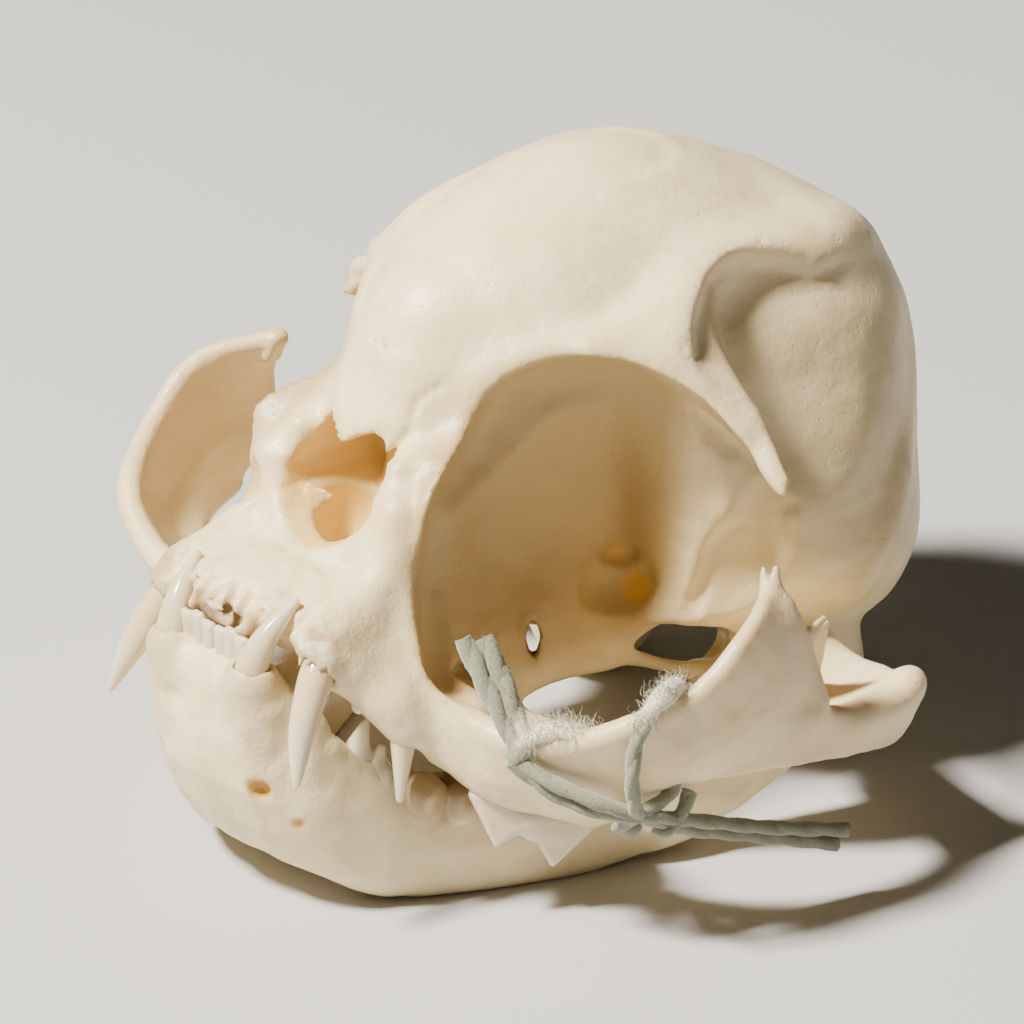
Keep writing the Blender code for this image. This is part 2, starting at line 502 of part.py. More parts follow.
def jaw(clay):
    add, carve = clay.add, clay.carve
    # chin and the front teeth's bone
    add(sheet([[(0.5, -35.0, 20.0, 2.2), (4.2, -34.8, 19.5, 2.6), (6.6, -32.4, 16.5, 2.4)],
               [(0.5, -34.6, 13.0, 2.6), (4.6, -33.9, 12.0, 2.8), (7.6, -31.0, 10.0, 2.6)],
               [(0.5, -31.4, 6.8, 2.4), (4.6, -31.0, 6.0, 2.6), (8.0, -28.8, 5.0, 2.6)],
               [(0.5, -27.5, 5.0, 2.0), (5.0, -27.5, 4.4, 2.3), (9.0, -26.0, 3.4, 2.5)]], 3, 2), 2)
    add(limb([(0, -34.6, 20.4, 2.0), (0, -34.9, 14.0, 2.6), (0, -31.8, 7.0, 2.6), (0, -28.0, 4.6, 2.0)]), 2.0)
    # bone over the roots of the canines
    add(limb([(4.8, -33.6, 12.0, 2.6), (4.9, -34.9, 17.0, 2.6), (4.85, -35.7, 21.4, 2.45)]), 1.2)
    add(limb([(0.0, -34.8, 20.4, 1.8), (3.6, -35.0, 20.6, 1.8)]), 1.2)
    # body
    add(sheet([[(6.5, -32.0, 16.0, 2.2), (9.5, -27.0, 11.4, 2.0), (12.0, -21.0, 9.0, 1.9),
                (14.5, -14.0, 8.0, 1.8), (18.0, -6.0, 8.0, 1.6)],
               [(7.0, -31.0, 9.5, 2.6), (10.0, -26.0, 6.0, 2.6), (12.8, -20.0, 5.0, 2.6),
                (16.0, -11.5, 4.6, 2.5), (19.2, -3.5, 5.2, 2.0)],
               [(7.0, -28.6, 6.0, 2.2), (9.8, -24.6, 2.5, 2.2), (13.0, -18.5, 1.8, 2.2),
                (16.5, -10.0, 1.7, 2.1), (19.8, -1.6, 2.8, 1.8)]], 3, 2), 2)
    # rising branch with its hooked tip
    add(sheet([[(17.6, -7.0, 9.0, 1.5), (22.0, -3.0, 13.0, 1.1), (26.6, 0.2, 17.5, 0.9),
                (29.2, 3.2, 21.6, 0.6), (30.0, 5.2, 22.6, 0.4)],
               [(18.8, -4.0, 5.5, 1.8), (22.2, 1.8, 9.5, 1.3), (25.4, 4.2, 13.5, 0.8),
                (28.0, 4.8, 17.8, 0.6), (29.9, 5.4, 22.2, 0.4)],
               [(19.6, -4.0, 3.2, 1.7), (21.8, 2.0, 5.6, 1.4), (23.2, 6.6, 8.6, 1.3),
                (24.8, 8.2, 11.2, 0.9), (27.6, 5.8, 16.5, 0.5)]], 3, 2), 1.5)
    # joint and the corner below it
    add(sheet([[(22.4, 5.0, 8.6, 1.2), (23.6, 9.4, 10.0, 1.3)],
               [(25.2, 6.0, 12.0, 0.9), (26.4, 9.4, 10.8, 1.2)]], 2), 1.5)
    add(limb([(20.6, 10.9, 10.2, 1.2), (24.5, 10.6, 10.5, 1.7), (28.8, 9.8, 10.5, 1.2)]), 1.5)
    add(limb([(21.4, 2.0, 5.0, 1.7), (22.6, 6.6, 6.8, 1.4), (23.0, 10.4, 8.0, 0.8)]), 2.0)
    carve(ball((2.0, -22.0, 14.0), (8.0, 12.0, 9.0)), 2.0)


# ---------------------------------------------------------------- teeth and twine


UPPER_CANINE = [(7.8, -28.2, 26.4, 0.9), (8.7, -30.4, 25.0, 1.3), (9.7, -32.8, 22.9, 1.5),
                (10.8, -35.4, 18.8, 1.15), (11.9, -37.0, 14.8, 0.3)]
LOWER_CANINE = [(4.6, -33.0, 13.6, 1.0), (4.8, -34.8, 17.6, 1.2), (4.9, -35.8, 20.6, 1.3),
                (4.95, -35.8, 22.6, 1.45), (5.5, -34.4, 25.6, 1.05), (6.3, -31.6, 28.3, 0.3)]


def cusp(base_point, tip, width, point=0.35):
    return rod((*base_point, width), (*tip, point))


def upper_cheek_teeth():
    return (
        # second premolar, a small blade, and the third, a long point
        cusp((10.9, -28.8, 21.5), (10.9, -29.2, 19.4), 1.3, 0.7)
        + cusp((13.3, -26.4, 18.4), (13.9, -27.5, 11.4), 1.4, 0.35)
        # the shearing tooth: a flat front face, a high point and a blade behind
        + web((17.6, -21.8, 11.4, 1.1), (20.0, -19.0, 9.2, 1.0), (19.0, -21.4, 7.1, 0.3))
        + cusp((20.0, -18.8, 9.4), (20.1, -18.9, 7.5), 0.9, 0.4)
        + web((20.4, -18.2, 9.0, 1.2), (22.6, -14.2, 8.8, 1.2), (21.4, -17.3, 4.8, 0.3))
        + cusp((19.6, -17.6, 11.8), (21.2, -16.8, 8.0), 1.7, 1.2)
    )


def lower_cheek_teeth():
    return (
        # third premolar, a leaf with a low heel, and the worn fourth, a bead
        cusp((8.7, -28.3, 12.4), (9.6, -27.4, 16.9), 1.75, 0.3)
        + cusp((8.0, -29.4, 12.4), (7.9, -29.9, 14.8), 1.2, 0.4)
        + cusp((10.0, -26.9, 12.0), (10.4, -26.4, 14.4), 1.0, 0.4)
        + cusp((10.7, -26.2, 10.6), (10.6, -26.6, 12.3), 1.1, 0.95)
    )


def lower_incisors():
    made = []
    for x, top in ((0.70, 24.6), (2.08, 25.0), (3.42, 24.7)):
        for edge in (-0.30, 0.30):
            made += cusp((x * 0.94, -35.0, 21.0), (x + edge, -35.4, top), 0.66, 0.40)
    return made


def twine_route():
    """Every strand of the twine round the left cheek arch, each point x, y, z and radius."""
    r = TWINE_RADIUS
    knot = (23.3, -23.4, 17.2)
    meet = (31.3, -16.9, 12.9)
    return [
        # two cut ends that stand up from the front knot
        [(*knot, r), (23.1, -23.1, 18.0, r), (21.1, -23.3, 21.1, r * 1.25), (19.2, -23.5, 23.7, r * 1.3),
         (17.4, -23.6, 26.1, r * 1.25)],
        [(*knot, r), (23.7, -22.5, 18.2, r), (22.0, -22.2, 21.0, r * 1.25), (20.3, -22.2, 23.6, r * 1.3),
         (18.5, -22.3, 26.1, r * 1.25)],
        # front loop over the rim, round behind the arch and back under it
        [(*knot, r * 1.4), (24.4, -22.2, 19.3, r * 1.2), (26.2, -20.9, 20.1, r * 1.4), (28.2, -19.8, 19.8, r * 1.2),
         (28.2, -16.8, 16.6, r), (26.6, -13.2, 12.0, r), (27.0, -13.4, 8.9, r), (28.6, -16.6, 10.8, r),
         (*meet, r)],
        # the run along the front of the arch to where the side loop crosses it
        [(*knot, r * 1.4), (26.0, -21.6, 14.6, r), (29.0, -19.6, 13.4, r), (*meet, r * 1.2)],
        [(*knot, r), (26.4, -22.0, 15.8, r), (29.6, -19.8, 14.4, r), (*meet, r)],
        # side loop
        [(*meet, r), (32.2, -18.2, 14.8, r), (32.8, -19.0, 17.6, r), (33.0, -18.8, 20.6, r),
         (33.2, -17.6, 23.0, r * 1.2), (33.4, -15.8, 24.4, r * 1.4), (32.4, -13.6, 23.6, r * 1.3), (31.6, -13.4, 19.4, r),
         (31.2, -13.0, 14.0, r), (*meet, r)],
        # small hook, then the two cut ends that point back
        [(31.9, -11.7, 13.6, r), (31.9, -12.6, 11.9, r), (31.4, -13.9, 10.6, r), (30.6, -14.6, 10.8, r)],
        [(*meet, r), (32.0, -11.6, 10.9, r), (33.8, -4.4, 8.4, r), (35.7, 2.6, 6.5, r)],
        [(*meet, r), (31.4, -11.6, 9.9, r), (33.4, -4.4, 7.4, r), (35.3, 1.8, 5.3, r)],
    ]


def twine(step):
    clay = Clay(*TWINE_BOX, step)
    for strand in twine_route():
        clay.add(limb(strand), 0.2)
    return clay


# ---------------------------------------------------------------- parts


def cranium(step, side=1):
    """One half of everything above the jaw joint: the left, or with side -1 the right."""
    clay = Clay(*CRANIUM_BOX, step)
    masses(clay)
    upper_jaw(clay)
    orbit(clay)
    cheek_arch(clay, side)
    base(clay)
    nose_and_temple(clay)
    brow(clay, side)
    clay.trim_below(0)
    return clay


def jaw_half(step):
    """The left half of the lower jaw."""
    clay = Clay(*JAW_BOX, step)
    jaw(clay)
    clay.trim_below(0)
    return clay


def bone_halves(step):
    """The left and the right half of the cranium and the jaw with their teeth, clear of each other."""
    upper_canine = grown(limb(UPPER_CANINE), GAP)
    lower_canine = grown(limb(LOWER_CANINE), GAP)
    sides = []
    for side in (1, -1):
        skull = cranium(step, side)
        skull.add(upper_cheek_teeth(), 0.5)
        skull.carve(upper_canine + lower_canine, 0)
        mandible = jaw_half(step)
        mandible.add(lower_cheek_teeth(), 0.5)
        mandible.add(lower_incisors(), 0.3)
        mandible.carve(upper_canine + lower_canine, 0)
        mandible.clear_of(skull, GAP)
        sides.append((skull, mandible))
    return sides


def block(low, high):
    """A box between two corners."""
    low = np.array(low, float)
    high = np.array(high, float)
    middle = ((low + high) / 2).astype(np.float32)
    half = ((high - low) / 2).astype(np.float32)

    def distance(p):
        out = np.abs(p - middle) - half
        return np.linalg.norm(np.maximum(out, 0), axis=-1) + np.minimum(out.max(axis=-1), 0)

    return [(low, high, distance)]


def material(name, colour, roughness):
    made = bpy.data.materials.new(name)
    made.use_nodes = True
    shader = made.node_tree.nodes["Principled BSDF"]
    shader.inputs["Base Color"].default_value = (*colour, 1)
    shader.inputs["Roughness"].default_value = roughness
    shader.inputs["Metallic"].default_value = 0.0
    return made


def largest_piece(mesh):
    """Drops crumbs that a cut left beside the piece."""
    work = bmesh.new()
    work.from_mesh(mesh)
    left = set(work.verts)
    groups = []
    while left:
        group = {left.pop()}
        edge = list(group)
        while edge:
            near = {e.other_vert(v) for v in edge for e in v.link_edges} & left
            left -= near
            group |= near
            edge = list(near)
        groups.append(group)
    keep = max(groups, key=len)
    bmesh.ops.delete(work, geom=[v for v in work.verts if v not in keep], context="VERTS")
    work.to_mesh(mesh)
    work.free()


def place(name, clay, triangles, finish, parent):
    """One part of the model, with its facets brought down to about this many triangles."""
    mesh = clay.mesh(name)
    largest_piece(mesh)
    part = bpy.data.objects.new(name, mesh)
    bpy.context.scene.collection.objects.link(part)
    mesh.materials.append(finish)
    mesh.polygons.foreach_set("use_smooth", [True] * len(mesh.polygons))
    fewer = part.modifiers.new("Fewer facets", "DECIMATE")
    fewer.ratio = min(1.0, triangles / (2 * len(mesh.polygons)))
    seen = part.evaluated_get(bpy.context.evaluated_depsgraph_get())
    part.data = bpy.data.meshes.new_from_object(seen)
    part.modifiers.clear()
    # the feet are exactly flat
    for vertex in part.data.vertices:
        if vertex.co.z < FOOT:
            vertex.co.z = 0.0
    part.parent = parent
    return part


def place_cranium(whole, finish, parent):
    """Braincase, face and both cheekbones, cut from one solid with a gap where their bones meet."""
    suture = np.array((0, *FACE_SUTURE[:2]))
    length = np.linalg.norm(suture)
    cheek = block(CHEEK_LOW, CHEEK_HIGH)
    cheeks = {"left": cheek, "right": mirrored_form(cheek)}
    braincase = whole.copy()
    braincase.cut(-suture / length, -FACE_SUTURE[2] / length - GAP / 2)
    face = whole.copy()
    face.cut(suture / length, FACE_SUTURE[2] / length - GAP / 2)
    for form in cheeks.values():
        braincase.carve(grown(form, GAP), 0)
        face.carve(grown(form, GAP), 0)
    place("braincase", braincase, TRIANGLES["braincase"], finish, parent)
    place("face", face, TRIANGLES["face"], finish, parent)
    for side, form in cheeks.items():
        cheekbone = whole.copy()
        cheekbone.keep(form)
        place("cheekbone_" + side, cheekbone, TRIANGLES["cheekbone"], finish, parent)


def place_jaws(left, right, finish, parent):
    for side, half, normal in (("left", left, -1), ("right", right, 1)):
        whole = half.mirrored()
        whole.cut((normal, 0, 0), -GAP / 2)
        place("jaw_" + side, whole, TRIANGLES["jaw"], finish, parent)


def place_canines(finish, parent):
    (x_low, *low), (x_high, *high) = CANINE_BOX
    for name, route in (("upper", UPPER_CANINE), ("lower", LOWER_CANINE)):
        tooth = Clay((x_low, *low), (x_high, *high), TOOTH_STEP)
        tooth.add(limb(route), 0)
        place(f"canine_{name}_left", tooth, TRIANGLES["canine"], finish, parent)
        tooth = Clay((-x_high, *low), (-x_low, *high), TOOTH_STEP)
        tooth.add(mirrored_form(limb(route)), 0)
        place(f"canine_{name}_right", tooth, TRIANGLES["canine"], finish, parent)


def main():
    for old in list(bpy.data.objects):
        bpy.data.objects.remove(old)
    bone = material("bone", (0.80, 0.69, 0.50), 0.42)
    enamel = material("enamel", (0.83, 0.80, 0.70), 0.18)
    cotton = material("cotton", (0.62, 0.63, 0.52), 0.9)
    frame = bpy.data.objects.new("cat_skull", None)
    frame.location = (0, TO_MIDDLE * MM, 0)
    bpy.context.scene.collection.objects.link(frame)

    (left_skull, left_jaw), (right_skull, right_jaw) = bone_halves(STEP)
    place_cranium(left_skull.mirrored(right_skull), bone, frame)
    place_jaws(left_jaw, right_jaw, bone, frame)
    place_canines(enamel, frame)
    tie = twine(STEP)
    tie.clear_of(left_skull, GAP)
    tie.clear_of(left_jaw, GAP)
    place("twine_tie", tie, TRIANGLES["twine"], cotton, frame)


if __name__ == "__main__":
    main()
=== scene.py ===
# %% [markdown]
# # A cat skull in cells
# This script dresses a plain solid model of a cat's skull, whose lower jaw is tied on with a bit of
# cotton twine. The solid model is the frame: it says where everything is and how big it may be.
# Each step below first tells what the thing is on a real skull, how it could be made and why it is made
# this way, and then makes it. Run the cells from top to bottom.

import math

import bmesh
import bpy
import numpy as np
import openvdb
from mathutils import Euler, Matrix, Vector


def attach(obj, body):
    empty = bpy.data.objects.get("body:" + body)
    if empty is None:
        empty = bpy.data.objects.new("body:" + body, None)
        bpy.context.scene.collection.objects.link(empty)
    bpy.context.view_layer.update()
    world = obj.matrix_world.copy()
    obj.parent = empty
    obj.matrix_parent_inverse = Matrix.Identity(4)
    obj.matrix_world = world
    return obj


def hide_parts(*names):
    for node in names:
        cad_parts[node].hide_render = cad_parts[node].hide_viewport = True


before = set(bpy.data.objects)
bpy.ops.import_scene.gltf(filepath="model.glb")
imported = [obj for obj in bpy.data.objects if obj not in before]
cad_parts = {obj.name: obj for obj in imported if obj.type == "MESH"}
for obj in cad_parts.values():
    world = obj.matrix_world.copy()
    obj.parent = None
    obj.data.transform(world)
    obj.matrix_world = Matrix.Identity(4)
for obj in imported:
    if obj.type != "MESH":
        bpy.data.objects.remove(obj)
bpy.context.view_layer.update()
print("frame:", sorted(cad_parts))

# %% [markdown]
# ## Units and fineness
# Forms are written in millimetres for the left side of the skull, with the nose towards -Y. They are
# drawn from a point a little behind the middle of the skull, so every finished mesh is moved back by
# TO_MIDDLE.

# %% Units and fineness
MM = 0.001
TO_MIDDLE = 0.9
FAR = 10.0
BONE_STEP = 0.36
TOOTH_STEP = 0.16
MOST_TRIANGLES = 195000
print("grid step for bone", BONE_STEP, "mm")

# %% [markdown]
# ## Clay, part one: forms
# A skull has no flat faces and hardly a straight line, and its walls flow into each other. Box
# modelling it would take thousands of hand-placed points. Here it is built like clay instead: simple
# forms are described by the distance from any point in space to their surface. A form is a list of
# pieces, and each piece is its lowest corner, its highest corner and a function that gives distances.
# The first three are an egg (ball), a tapering rod and a bent branch of rods (limb).

# %% Smooth curves, eggs and rods


def spaced(points, steps):
    """A smooth curve through points of any width, with this many steps to each span."""
    points = np.array(points, float)
    ends = np.vstack([2 * points[0] - points[1], points, 2 * points[-1] - points[-2]])
    made = []
    for i in range(len(points) - 1):
        a, b, c, d = ends[i : i + 4]
        for t in np.arange(steps) / steps:
            bend = 2 * a - 5 * b + 4 * c - d + t * (3 * (b - c) + d - a)
            made.append(b + 0.5 * t * (c - a + t * bend))
    return np.array(made + [points[-1]])


def ball(centre, radii, turn=(0, 0, 0)):
    """An egg with three radii, turned by angles in degrees."""
    centre = np.array(centre, float)
    radii = np.array(radii, float)
    axes = np.array(Euler([math.radians(a) for a in turn]).to_matrix())
    reach = np.sqrt(((axes * radii) ** 2).sum(axis=1))

    def distance(p):
        local = (p - centre.astype(np.float32)) @ axes.astype(np.float32)
        near = np.linalg.norm(local / radii.astype(np.float32), axis=-1)
        slope = np.linalg.norm(local / (radii**2).astype(np.float32), axis=-1)
        return near * (near - 1) / np.maximum(slope, 1e-6)

    return [(centre - reach, centre + reach, distance)]


def rod(a, b):
    """A rod with round ends from a to b, each x, y, z and radius."""
    a = np.array(a, float)
    b = np.array(b, float)
    reach = np.array([a[3], b[3]])[:, None]
    ends = np.array([a[:3], b[:3]])

    def distance(p):
        along = (b - a)[:3].astype(np.float32)
        rest = p - a[:3].astype(np.float32)
        part = np.clip(rest @ along / max(float(along @ along), 1e-9), 0, 1)
        return np.linalg.norm(rest - part[..., None] * along, axis=-1) - (a[3] + part * (b[3] - a[3]))

    return [((ends - reach).min(axis=0), (ends + reach).max(axis=0), distance)]


def limb(points, steps=4):
    """A smooth round branch through points of x, y, z and radius."""
    curve = spaced(points, steps)
    return [piece for a, b in zip(curve[:-1], curve[1:]) for piece in rod(a, b)]


print("a bent branch of two points has", len(limb([(0, 0, 0, 1), (1, 0, 0, 1)])), "rods")

# %% [markdown]
# Bone is often a thin wall. It could be an egg squashed flat, but a wall that bends needs more: a
# triangle plate (web), and a curved plate of many of them (sheet). A tunnel cuts an opening whose
# outline is drawn point by point. A form can also be grown on all sides or mirrored.

# %% Plates and tunnels


def web(a, b, c):
    """A thick triangle with round edges between three points, each x, y, z and half thickness."""
    a, b, c = (np.array(q, float) for q in (a, b, c))
    rods = [rod(a, b)[0], rod(b, c)[0], rod(c, a)[0]]
    low = np.min([r[0] for r in rods], axis=0)
    high = np.max([r[1] for r in rods], axis=0)
    across = np.cross((b - a)[:3], (c - a)[:3])
    area = across @ across

    def distance(p):
        best = np.minimum(rods[0][2](p), np.minimum(rods[1][2](p), rods[2][2](p)))
        if area < 1e-9:
            return best
        rest = p - a[:3].astype(np.float32)
        to_b = rest @ (np.cross((c - a)[:3], across) / area).astype(np.float32)
        to_c = rest @ (np.cross(across, (b - a)[:3]) / area).astype(np.float32)
        flat = np.abs(rest @ (across / math.sqrt(area)).astype(np.float32))
        flat -= a[3] + to_b * (b[3] - a[3]) + to_c * (c[3] - a[3])
        inside = (to_b >= 0) & (to_c >= 0) & (to_b + to_c <= 1)
        return np.where(inside, np.minimum(flat, best), best)

    return [(low, high, distance)]


def sheet(rows, steps=3, across=1):
    """A curved plate through rows of points of x, y, z and half thickness."""
    rows = np.array([spaced(row, steps) for row in rows])
    if across > 1:
        rows = np.stack([spaced(column, across) for column in rows.transpose(1, 0, 2)], axis=1)
    made = []
    for i in range(len(rows) - 1):
        for j in range(len(rows[0]) - 1):
            a, b, c, d = rows[i, j], rows[i, j + 1], rows[i + 1, j + 1], rows[i + 1, j]
            made += web(a, b, c) + web(a, c, d)
    return made


def tunnel(outline, front, back):
    """A straight tunnel along y between front and back, with this outline of x and z."""
    corners = np.array(outline, np.float32)
    low = np.array((corners[:, 0].min(), front, corners[:, 1].min()))
    high = np.array((corners[:, 0].max(), back, corners[:, 1].max()))

    def distance(p):
        flat = p[..., [0, 2]]
        best = np.full(p.shape[:-1], FAR * FAR, np.float32)
        inside = np.zeros(p.shape[:-1], bool)
        for a, b in zip(corners, np.roll(corners, -1, axis=0)):
            edge = b - a
            rest = flat - a
            part = np.clip(rest @ edge / (edge @ edge), 0, 1)
            best = np.minimum(best, ((rest - part[..., None] * edge) ** 2).sum(axis=-1))
            if edge[1]:
                level = (a[1] <= flat[..., 1]) != (b[1] <= flat[..., 1])
                inside ^= level & (rest[..., 0] < edge[0] * rest[..., 1] / edge[1])
        aside = np.where(inside, -1, 1) * np.sqrt(best)
        return np.maximum(aside, np.maximum(front - p[..., 1], p[..., 1] - back))

    return [(low, high, distance)]


def grown(form, by):
    """A form with every surface moved out."""
    return [
        (low - by, high + by, lambda p, distance=distance: distance(p) - by)
        for low, high, distance in form
    ]


def mirrored_form(form):
    """A form on the other side of x = 0."""
    flip = np.array((-1, 1, 1), np.float32)
    return [
        (np.array((-high[0], low[1], low[2])), np.array((-low[0], high[1], high[2])),
         lambda p, distance=distance: distance(p * flip))
        for low, high, distance in form
    ]


def distances(form, points):
    """The distance from each point to a form, negative inside."""
    best = np.full(len(points), FAR, np.float32)
    for low, high, distance in form:
        near = ((points > low - FAR) & (points < high + FAR)).all(axis=1)
        best[near] = np.minimum(best[near], distance(points[near]))
    return best


print("forms: ball, rod, limb, web, sheet, tunnel")

# %% [markdown]
# ## Clay, part two: the lump
# The lump of clay is a box of grid points that hold the distance to the nearest surface. Adding a form
# takes the lesser of two distances, and carving takes the greater of one and the other turned inside
# out. A soft edge blends the two where they are nearly equal, as a thumb would. At the end Blender's
# own volume library draws the surface through the points where the distance is nought.

# %% The lump of clay


def soft_least(a, b, soft):
    """The lesser of two distances, rounded off where they differ by less than soft."""
    if soft <= 0:
        return np.minimum(a, b)
    overlap = np.maximum(soft - np.abs(a - b), 0) / soft
    return np.minimum(a, b) - overlap * overlap * soft / 4


RANDOM_VALUES = 8192


def lumps(points, size, seed):
    """Smooth random values from -1 to 1, about one rise or dip to each size."""
    table = np.random.default_rng(seed).uniform(-1, 1, RANDOM_VALUES).astype(np.float32)
    cell = points / np.float32(size)
    base = np.floor(cell)
    part = cell - base
    part = part * part * (3 - 2 * part)
    base = base.astype(np.int64)
    total = np.zeros(points.shape[:-1], np.float32)
    for corner in np.ndindex(2, 2, 2):
        index = ((base + corner) * (1619, 31337, 6971)).sum(axis=-1) % RANDOM_VALUES
        weight = np.where(corner, part, 1 - part).prod(axis=-1)
        total += weight * table[index]
    return total


class Clay:
    """A solid held as distances to its surface, negative inside, on a grid of points."""

    def __init__(self, low, high, step):
        self.low = np.array(low, float)
        self.step = step
        count = np.ceil((np.array(high, float) - self.low) / step).astype(int) + 1
        self.field = np.full(count, FAR, np.float32)

    def window(self, low, high, margin):
        """The first and last grid points of the box between two corners."""
        first = np.floor((low - margin - self.low) / self.step).astype(int)
        last = np.ceil((high + margin - self.low) / self.step).astype(int) + 1
        first = np.clip(first, 0, self.field.shape)
        last = np.clip(last, first, self.field.shape)
        return first, last

    def points(self, first, last):
        """The places of the grid points of a window."""
        axes = [self.low[i] + self.step * np.arange(first[i], last[i]) for i in range(3)]
        return np.stack(np.meshgrid(*axes, indexing="ij"), axis=-1).astype(np.float32)

    def measure(self, form, margin):
        """The part of the grid near a form, and the distance to the form there."""
        low = np.min([piece[0] for piece in form], axis=0)
        high = np.max([piece[1] for piece in form], axis=0)
        first, last = self.window(low, high, margin)
        found = np.full(last - first, FAR, np.float32)
        for low, high, distance in form:
            a, b = self.window(low, high, margin)
            if (b > a).all():
                place = tuple(slice(i, j) for i, j in zip(a - first, b - first))
                found[place] = np.minimum(found[place], distance(self.points(a, b)))
        return tuple(slice(i, j) for i, j in zip(first, last)), found

    def add(self, form, soft=1.0):
        place, found = self.measure(form, soft + 2 * self.step)
        self.field[place] = soft_least(self.field[place], found, soft)

    def carve(self, form, soft=1.0):
        place, found = self.measure(form, soft + 2 * self.step)
        self.field[place] = -soft_least(-self.field[place], found, soft)

    def push(self, form, height, fade, ramps=()):
        """Raises the surface by this height inside a form, fading towards its edge and along ramps.

        A ramp is an axis and the two places along it where the push is full and where it ends.
        """
        place, found = self.measure(form, self.step)
        part = np.clip(-found / fade, 0, 1)
        for axis, full, end in ramps:
            index = np.arange(place[axis].start, place[axis].stop)
            along = np.clip((self.low[axis] + self.step * index - end) / (full - end), 0, 1)
            shape = [1, 1, 1]
            shape[axis] = -1
            part = part * along.reshape(shape).astype(np.float32)
        self.field[place] -= height * part * part * (3 - 2 * part)

    def roughen(self, height, size, seed, form=None, fade=2.0):
        """Gives the surface small rises and dips, everywhere or only inside a form."""
        near = np.abs(self.field) < 3 * height + self.step
        points = (np.argwhere(near) * self.step + self.low).astype(np.float32)
        part = lumps(points, size, seed)
        if form:
            part = part * np.clip(-distances(form, points) / fade, 0, 1)
        self.field[near] += height * part


print("clay can be added to, carved, pushed and roughened")

# %% [markdown]
# A skull is nearly the same on both sides, so only halves are modelled, and two halves are set side by
# side. The volume library then gives points and faces, and loose crumbs of a few faces are dropped. A
# mesh of half a million faces would be slow, so a Decimate modifier thins it where it is nearly flat.
# To put a hole exactly on the bone, a point is settled: moved down the slope of the distances.

# %% Trimming, mirroring and the mesh
SETTLING_STEPS = 8


def trim_below(clay, z):
    """Cuts the solid off flat at this height."""
    heights = clay.low[2] + clay.step * np.arange(clay.field.shape[2])
    clay.field = np.maximum(clay.field, (z - heights).astype(np.float32))


def mirrored(left, right=None):
    """The whole solid, from a left half whose grid starts at x = 0 and a right half like it."""
    right = right or left
    whole = Clay((0, 0, 0), (0, 0, 0), left.step)
    whole.field = np.concatenate([right.field[:0:-1], left.field])
    whole.low = left.low - (left.step * (left.field.shape[0] - 1), 0, 0)
    return whole


def values_at(clay, field, points):
    """A field's values at any points, mixed from the grid points around each."""
    place = (points - clay.low) / clay.step
    base = np.clip(np.floor(place).astype(int), 0, np.array(field.shape) - 2)
    part = place - base
    total = np.zeros(len(points))
    for corner in np.ndindex(2, 2, 2):
        i, j, k = (base + corner).T
        total += np.where(corner, part, 1 - part).prod(axis=1) * field[i, j, k]
    return total


def settled(clay, points):
    """Points moved straight to the nearest surface of the clay."""
    points = np.array(points, float)
    for _ in range(SETTLING_STEPS):
        here = values_at(clay, clay.field, points)
        slope = np.stack(
            [
                values_at(clay, clay.field, points + d) - values_at(clay, clay.field, points - d)
                for d in np.eye(3) * clay.step
            ],
            axis=1,
        ) / (2 * clay.step)
        points -= slope * (here / np.maximum((slope**2).sum(axis=1), 0.05))[:, None]
    return points


def blurred(field, times):
    """A field with each value mixed with its neighbours, again and again."""
    for _ in range(times):
        for axis in range(3):
            field = np.swapaxes(field, 0, axis)
            middle = (field[:-2] + 2 * field[1:-1] + field[2:]) / 4
            field = np.swapaxes(np.concatenate([field[:1], middle, field[-1:]]), 0, axis)
    return field


def polygons(clay):
    """The surface's points in form millimetres, and its faces."""
    grid = openvdb.FloatGrid(FAR)
    grid.transform = openvdb.createLinearTransform(voxelSize=clay.step)
    grid.copyFromArray(np.ascontiguousarray(clay.field))
    points, triangles, quads = grid.convertToPolygons(0.0, 0.0)
    return points + clay.low, triangles, quads


def deselect():
    for item in bpy.context.selected_objects:
        item.select_set(False)


def activate(item):
    deselect()
    item.select_set(True)
    bpy.context.view_layer.objects.active = item


def drop_crumbs(mesh):
    """Keeps only the largest connected piece of a mesh."""
    work = bmesh.new()
    work.from_mesh(mesh)
    left = set(work.verts)
    groups = []
    while left:
        group = {left.pop()}
        edge = list(group)
        while edge:
            near = {e.other_vert(v) for v in edge for e in v.link_edges} & left
            left -= near
            group |= near
            edge = list(near)
        groups.append(group)
    keep = max(groups, key=len)
    bmesh.ops.delete(work, geom=[v for v in work.verts if v not in keep], context="VERTS")
    work.to_mesh(mesh)
    work.free()


def clay_mesh(name, clay):
    points, triangles, quads = polygons(clay)
    mesh = bpy.data.meshes.new(name)
    faces = triangles.tolist() + quads.tolist()
    mesh.from_pydata((points * MM + (0, TO_MIDDLE * MM, 0)).tolist(), [], faces)
    mesh.update()
    return mesh


def new_piece(name, mesh):
    piece = bpy.data.objects.new(name, mesh)
    bpy.context.scene.collection.objects.link(piece)
    return piece


def cast_clay(name, clay):
    """A smooth mesh piece from clay, with no more than MOST_TRIANGLES triangles."""
    mesh = clay_mesh(name, clay)
    drop_crumbs(mesh)
    piece = new_piece(name, mesh)
    activate(piece)
    if 2 * len(mesh.polygons) > MOST_TRIANGLES:
        fewer = piece.modifiers.new("Fewer facets", "DECIMATE")
        fewer.ratio = MOST_TRIANGLES / (2 * len(mesh.polygons))
        bpy.ops.object.modifier_apply(modifier=fewer.name)
    bpy.ops.object.shade_smooth()
    print(name, len(mesh.polygons), "faces")
    return piece


def form_points(piece):
    """A piece's vertices in form millimetres."""
    found = np.empty(len(piece.data.vertices) * 3)
    piece.data.vertices.foreach_get("co", found)
    return found.reshape(-1, 3) / MM - (0, TO_MIDDLE, 0)


